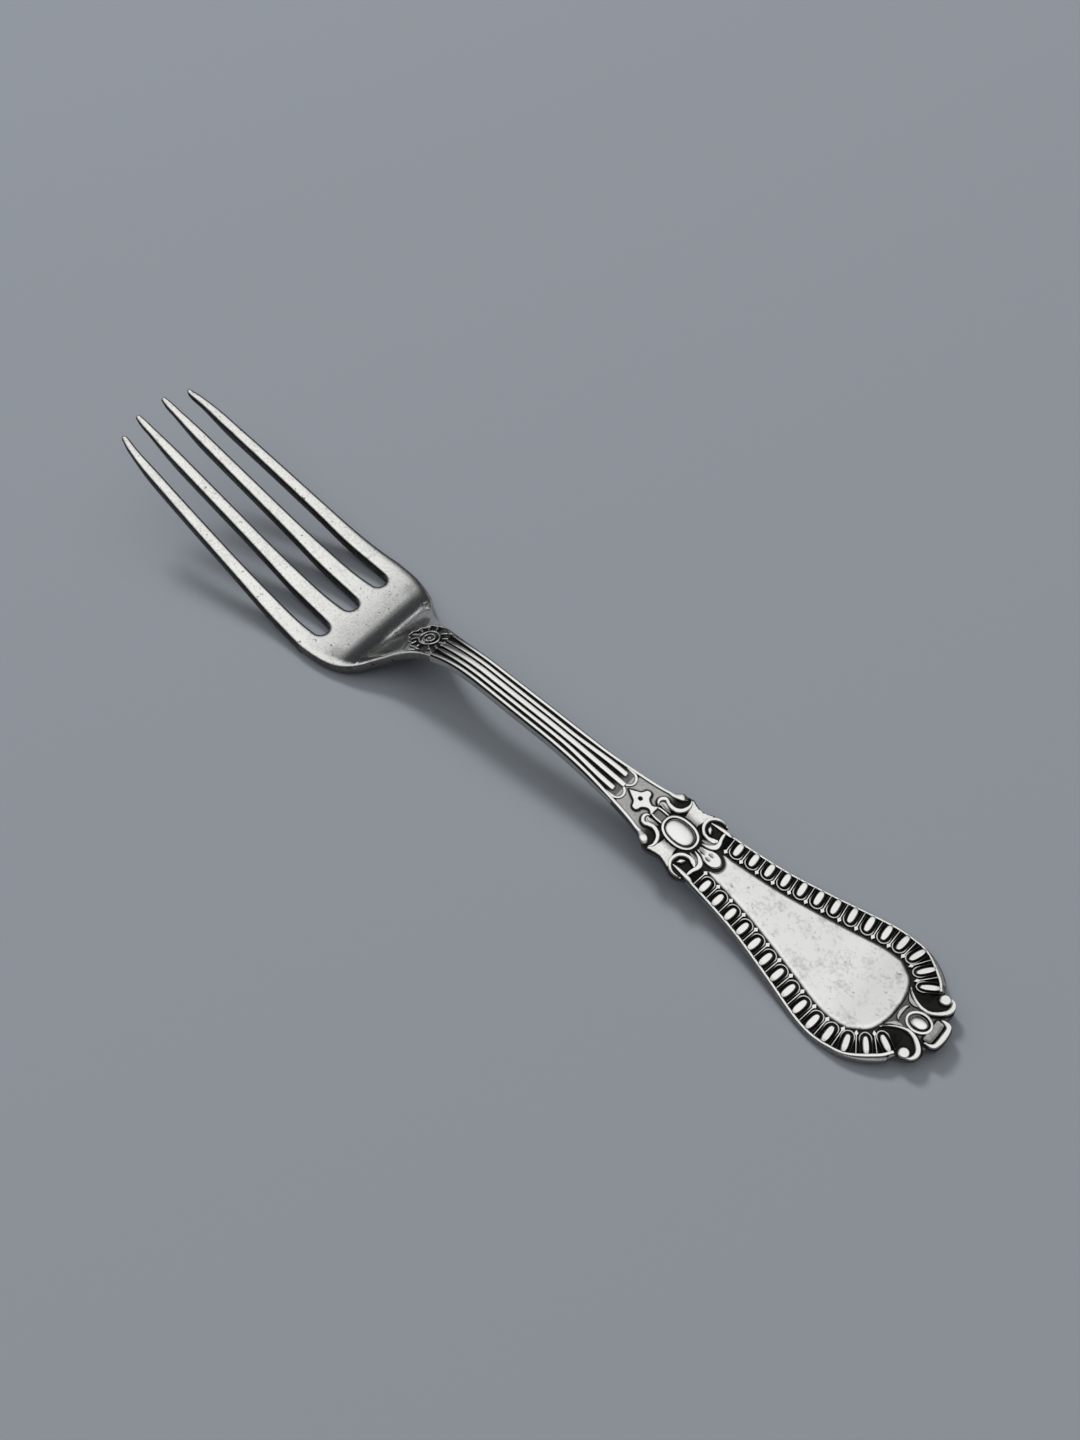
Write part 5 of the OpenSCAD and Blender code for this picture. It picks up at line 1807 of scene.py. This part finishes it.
        # The egg greys towards its rim end: painted shade where that end dips under the rim.
        relief.raise_form(
            egg, body, 0.5, 0.62, Crown.FLAT, WIDE, both=False, flat_ground=True, edge=0.12,
            shade=lambda p, d: 0.8 + 0.2 * ease(-1.9, -0.8, p[:, 1]),
        )
        bow = np.vstack([[[-1.24, edge]], arc((0.0, 0.76), (1.27, 1.32), 180.0, 0.0, 30), [[1.24, edge]]])
        bow = paced(even(bow, 0.15), FINE)
        bow[:, 2] = 0.1 + 0.06 * ease(0.0, 1.2, bow[:, 1])
        relief.raise_form(
            egg_line, ribbon(bow, FINE), 0.4, 0.16, Crown.FLAT, FINE, both=False, flat_ground=True, edge=0.06,
            shade=lambda p, d: 0.32 + 0.48 * ease(-0.6, 1.4, p[:, 1]),
        )
        spear = flow([
            (0.0, edge, 0.15), (0.0, 0.9, 0.16), (0.0, 1.4, 0.2),
            (0.0, 1.8, 0.48), (0.0, 2.05, 0.34), (0.0, 2.42, 0.08),
        ])
        relief.raise_form(
            dart, ribbon(spear, 0.08), 0.46, 0.2, Crown.FLAT, 0.09, both=False, flat_ground=True, edge=0.06,
            shade=lambda p, d: 0.78 + 0.22 * ease(-1.2, 1.2, p[:, 1]),
        )
        middle = self.middle_line(self.egg_first, self.egg_last)
        between = self.middle_line(self.egg_first + 0.5 * pitch, self.egg_last + 0.5 * pitch)
        for node, motif, lines, slot in (
            ("egg_border", egg, middle, Slot.POLISHED),
            ("egg_outlines", egg_line, middle, Slot.SATIN),
            ("dart_border", dart, between, Slot.SATIN),
        ):
            piece = bench.repeat.along(PREFIX + node, lines, motif, sheet, self.eggs, bench.finishes.relief)
            dress(piece, node, slot, None)

    def make_field(self) -> None:
        """Makes the plain field, which swells softly out of the border."""
        x = np.linspace(-50.6, -91.6, 120)
        inner = self.inward(x, self.border_width(x) + self.field_gap)
        inner = inner[inner[:, 0] > -87.2]
        start = flow([
            (-52.3, 0.0), (-52.08, 0.9), (-51.45, 1.6), (-50.75, 2.0), (-50.55, 2.35), tuple(inner[2]),
        ])[:-1]
        stop = flow([
            tuple(inner[-1]), (-88.7, 7.7), (-89.8, 6.9), (-90.6, 5.8), (-91.1, 4.6),
            (-91.45, 3.3), (-91.7, 2.0), (-91.75, 1.0), (-91.75, 0.0),
        ])[1:]
        half = np.vstack([start, inner[2:], stop])
        other = (half[1:-1] * [1.0, -1.0])[::-1]
        outline = np.vstack([half, other])
        made, relief = Casting.of("panel_field"), self.bench.relief
        # Its wide dark foot is painted shade on the cushion's sloping edge, as well as tarnish.
        relief.raise_form(made, outline, 0.5, 0.9, Crown.CUSHION, 0.3, both=False, bright=0.95, edge=0.45)
        dress(made.cast(), "panel_field", Slot.POLISHED, self.bench.finishes.field)


@dataclass
class End:
    """The scrolled end of the handle with its oval, beads and tab."""

    bench: Bench
    step: float = 0.2  # distance between the plate's points, mm

    def build(self) -> None:
        """Makes the ornament, then the plate under it."""
        self.scrolls()
        self.brackets()
        Jewel(
            self.bench, "end_ring", "end_boss", blunt=2.0, rise=1.55, pace=0.15, spare=(0.0, 0.0),
            foot=0.18, dome=0.5, step=WIDE, count=60,
        ).build()
        self.tab()
        self.plate()

    def scrolls(self) -> None:
        """Makes the two scrolls, each with the bead that ends the rim."""
        made, relief = Casting.of("end_scrolls"), self.bench.relief
        line = flow([
            (-91.1, 4.9, 0.14), (-92.1, 3.95, 0.28), (-93.4, 3.1, 0.34),
            (-95.0, 2.55, 0.4), (-96.5, 2.72, 0.44), (-97.8, 3.55, 0.52),
            (-98.75, 4.65, 0.58), (-99.0, 5.8, 0.56), (-98.6, 6.75, 0.44),
            (-97.9, 7.2, 0.25),
        ])
        relief.raise_form(made, ribbon(line, CLOSE), 0.56, 0.5, Crown.FLAT, WIDE)
        relief.raise_form(made, oval((-97.1, 6.5), (1.16, 1.16), 40), 0.66, 0.8, Crown.FLAT, WIDE)
        self.bench.finish(made)

    def brackets(self) -> None:
        """Makes the small leaves between the field and the oval."""
        made, relief = Casting.of("end_brackets"), self.bench.relief
        leaf = flow([
            (-91.45, 3.9, 0.12), (-92.1, 3.1, 0.32), (-92.8, 2.65, 0.42),
            (-93.5, 2.4, 0.34), (-94.2, 2.35, 0.14),
        ])
        relief.raise_form(made, ribbon(leaf, FINE), 0.36, 0.3, Crown.FLAT, CLOSE, bright=0.74)
        lobe = flow([
            (-92.9, 1.7, 0.18), (-92.5, 1.15, 0.36), (-92.35, 0.0, 0.45),
            (-92.5, -1.15, 0.36), (-92.9, -1.7, 0.18),
        ])
        relief.raise_form(made, ribbon(lobe, FINE), 0.42, 0.4, Crown.FLAT, CLOSE, bright=0.8, both=False)
        self.bench.finish(made, Slot.SATIN)

    def tab(self) -> None:
        """Makes the tab: a dished leaf and the lip at the very end."""
        made, relief = Casting.of("end_tab"), self.bench.relief
        lip = [
            (-100.1, 0.0), (-100.1, 1.1), (-100.0, 1.9), (-99.5, 2.3), (-98.75, 2.5), (-98.65, 2.95),
            (-99.6, 3.1), (-100.4, 2.98), (-100.95, 2.5), (-101.28, 1.4), (-101.4, 0.0),
        ]
        relief.raise_form(made, twin(lip, 8), 0.56, 0.5, Crown.FLAT, WIDE, both=False)
        dish = [
            (-98.1, 0.0), (-98.1, 1.2), (-98.15, 2.3), (-98.9, 2.42),
            (-99.6, 2.2), (-99.8, 1.5), (-99.85, 0.0),
        ]
        relief.raise_form(
            made, twin(dish), 0.34, 0.3, Crown.FLAT, WIDE, both=False, bright=0.66,
            extra=lambda p, d: -0.08 * ease(0.1, 0.6, d),
        )
        self.bench.finish(made)

    def plate(self) -> None:
        """Makes the lobed plate under the end ornament."""
        bench, relief = self.bench, self.bench.relief
        start, stop = ends("end_plate")
        plate = Plate(bench, "end_plate", Slot.OXIDISED, self.step, edge_wear_and_shade=0.5)
        form = bench.form
        last = across(stop, float(form.half(stop)), self.step, plate.insets)
        lobe = flow([
            tuple(last[-1]), (-96.2, 8.0), (-97.0, 7.62), (-98.0, 7.35),
            (-99.1, 6.6), (-99.7, 5.5), (-99.75, 4.4), (-99.55, 3.75), (-99.9, 3.3),
            (-100.5, 3.12), (-101.1, 2.6), (-101.4, 1.5), (start, 0.0),
        ], count=8)
        lobe = paced(lobe, self.step)
        other = (lobe * [1.0, -1.0])[::-1]
        outline = np.vstack([last[1:-1], lobe, other[1:]])

        def wear_and_shade(p: Array, d: Array) -> Array:
            """Dark in the folds and inside the scrolls.

            Args:
                p: plan points, mm.
                d: distance of each from the edge, mm.

            Returns:
                The wear of each.
            """
            x, y = p[:, 0], np.abs(p[:, 1])
            inside = ease(2.4, 3.0, y) * ease(-99.0, -98.2, x) * (1.0 - ease(6.6, 7.4, y))
            return 0.05 + 0.5 * ease(0.05, 0.6, relief.gap(p)) * (1.0 - 0.75 * inside)

        plate.make(outline, [stop], wear_and_shade, bench.finishes.ground)


@dataclass
class Studio:
    """Camera, floor and soft light."""

    picture: tuple[int, int] = (1080, 1440)  # size of the picture, pixels
    focal_pixels: float = 1582.68  # focal length, in its pixels
    sensor: float = 36.0  # longer side of the sensor, mm
    azimuth: float = -138.749  # degrees from -y, towards +x
    elevation: float = 55.98  # degrees above the floor
    roll: float = 0.114  # degrees about the line of sight
    aim: tuple[float, float, float] = (-2.959, -5.664, 0.0)  # the point looked at, mm
    distance: float = 315.13  # of the camera from it, mm
    floor_colour: str = "#999ea4"
    wall_colour: str = "#a6abb1"  # the plain backdrop that the camera sees above the floor
    pane_way: tuple[float, float, float] = (0.78, 0.5, 0.37)  # towards a pale pane that near edges mirror
    pane_edge: Span = (0.86, 0.96)  # cosine of the angle where it starts and where it is full
    pane: float = 0.6  # its strength
    strip: Span = (0.12, 0.018)  # height and half height of a thin strip that the neck mirrors
    strip_edge: Span = (0.6, 0.8)  # cosine of the angle from the tines' way where it starts
    strip_power: float = 1.6  # its strength
    pale: str = "#f2f4f6"  # colour of the pane, the strip and the sky overhead
    shine: float = 1.4  # the sky's strength as the metal mirrors it
    fill: float = 1.0  # its strength as it lights the floor, less so that the shadow is deep

    def build(self) -> None:
        """Sets up the scene round the fork."""
        scene = bpy.context.scene
        scene.view_settings.view_transform = "Standard"
        self.camera(scene)
        self.floor()
        self.sky(scene)
        self.lamp("window", way=(0.64, -0.27, 0.71), distance=2.5, size=0.5, power=30.0)

    def camera(self, scene: bpy.types.Scene) -> None:
        """Stands the camera where the photograph was taken from.

        Args:
            scene: the scene.
        """
        turn, lift = math.radians(self.azimuth), math.radians(self.elevation)
        back = Vector((math.sin(turn) * math.cos(lift), -math.cos(turn) * math.cos(lift), math.sin(lift)))
        lens = bpy.data.cameras.new("camera")
        lens.sensor_width = self.sensor
        lens.lens = self.sensor * self.focal_pixels / max(self.picture)
        lens.clip_start, lens.clip_end = 0.005, 20.0  # m
        eye = link("camera", lens)
        roll = Matrix.Rotation(math.radians(self.roll), 4, "Z")
        spin = back.to_track_quat("Z", "Y").to_matrix().to_4x4() @ roll
        spin.translation = Vector(self.aim) * MM + back * self.distance * MM
        eye.matrix_world = spin
        scene.camera = eye

    def floor(self) -> None:
        """Lays a plain pale matt floor."""
        reach = 6.0  # to each side, m
        corners = [(-reach, -reach, 0), (reach, -reach, 0), (reach, reach, 0), (-reach, reach, 0)]
        mesh = bpy.data.meshes.new("floor")
        mesh.from_pydata(corners, [], [(0, 1, 2, 3)])
        floor = link("floor", mesh)
        # Smooth matt card: pale grey, with hardly any sheen.
        paint = bpy.data.materials.new("matt_floor")
        paint.use_nodes = True
        shader = paint.node_tree.nodes["Principled BSDF"]
        shader.inputs["Base Color"].default_value = linear(self.floor_colour)
        shader.inputs["Roughness"].default_value = 0.7
        shader.inputs["Specular IOR Level"].default_value = 0.2
        mesh.materials.append(paint)

    def sky(self, scene: bpy.types.Scene) -> None:
        """Wraps the scene in soft light: dim low down, bright overhead.

        Metal also mirrors one pale pane and a thin strip. The camera sees a plain backdrop.

        Args:
            scene: the scene.
        """
        world = bpy.data.worlds.new("soft_room")
        world.use_nodes = True
        tree = world.node_tree
        tree.nodes.clear()
        way = add(tree, "ShaderNodeTexCoord").outputs["Generated"]
        height = add(tree, "ShaderNodeSeparateXYZ", {0: way}).outputs["Z"]
        ramp = add(tree, "ShaderNodeValToRGB", {"Fac": height})
        low = [(0.0, "#5c5e61"), (0.08, "#5c5e61"), (0.17, "#2e3033"), (0.63, "#3b3e41")]
        grade(ramp, low + [(0.77, "#dcdfe2"), (0.92, self.pale)])
        rays = add(tree, "ShaderNodeLightPath").outputs
        feeds = {"Value": rays["Is Glossy Ray"], "To Min": self.fill, "To Max": self.shine}
        level = add(tree, "ShaderNodeMapRange", feeds).outputs["Result"]
        light = add(tree, "ShaderNodeBackground", {"Color": ramp.outputs["Color"], "Strength": level})
        glows = []
        for toward, (start, full), power, kind in (
            (Vector(self.pane_way).normalized(), self.pane_edge, self.pane, "SMOOTHSTEP"),
            ((1.0, 0.0, 0.0), self.strip_edge, self.strip_power, "LINEAR"),
        ):
            near = add(tree, "ShaderNodeVectorMath", {0: way, 1: toward}, operation="DOT_PRODUCT")
            feeds = {"Value": near.outputs["Value"], "From Min": start, "From Max": full, "To Max": power}
            glows.append(add(tree, "ShaderNodeMapRange", feeds, interpolation_type=kind).outputs["Result"])
        feeds = {0: height, 1: self.strip[0], 2: self.strip[1]}
        level = add(tree, "ShaderNodeMath", feeds, operation="COMPARE").outputs[0]
        feeds = {0: level, 1: glows[1], 2: glows[0]}
        glow = add(tree, "ShaderNodeMath", feeds, operation="MULTIPLY_ADD").outputs[0]
        pane = add(tree, "ShaderNodeBackground", {"Color": linear(self.pale), "Strength": glow})
        both = add(tree, "ShaderNodeAddShader", {0: light.outputs[0], 1: pane.outputs[0]}).outputs[0]
        wall = add(tree, "ShaderNodeBackground", {"Color": linear(self.wall_colour)}).outputs[0]
        seen = add(tree, "ShaderNodeMixShader", {0: rays["Is Camera Ray"], 1: both, 2: wall})
        add(tree, "ShaderNodeOutputWorld", {"Surface": seen.outputs[0]})
        scene.world = world

    def lamp(self, name: str, way: Sequence[float], distance: float, size: float, power: float) -> None:
        """Hangs a soft lamp that faces the fork.

        Args:
            name: the lamp's name.
            way: direction from the fork to the lamp.
            distance: how far away it is, m.
            size: side of its square face, m.
            power: its power, W.
        """
        light = bpy.data.lights.new(name, "AREA")
        light.size, light.energy = size, power
        lamp = link(name, light)
        lamp.visible_glossy = False  # it gives the shadow, and the metal mirrors the soft sky alone
        back = Vector(way).normalized()
        spot = back.to_track_quat("Z", "Y").to_matrix().to_4x4()
        spot.translation = back * distance
        lamp.matrix_world = spot


def main() -> None:
    """Builds the fork piece by piece, then the studio."""
    logging.basicConfig(level=logging.INFO, format="%(name)s: %(message)s")
    form = Form()
    bench = Bench(form, Relief(form), Moulding(), Repeat(), Finishes())
    for part in (Head(bench), Neck(bench), Stem(bench), Collar(bench), Handle(bench), End(bench)):
        LOG.info("building %s", type(part).__name__)
        part.build()
    Studio().build()


if __name__ == "__main__":
    main()
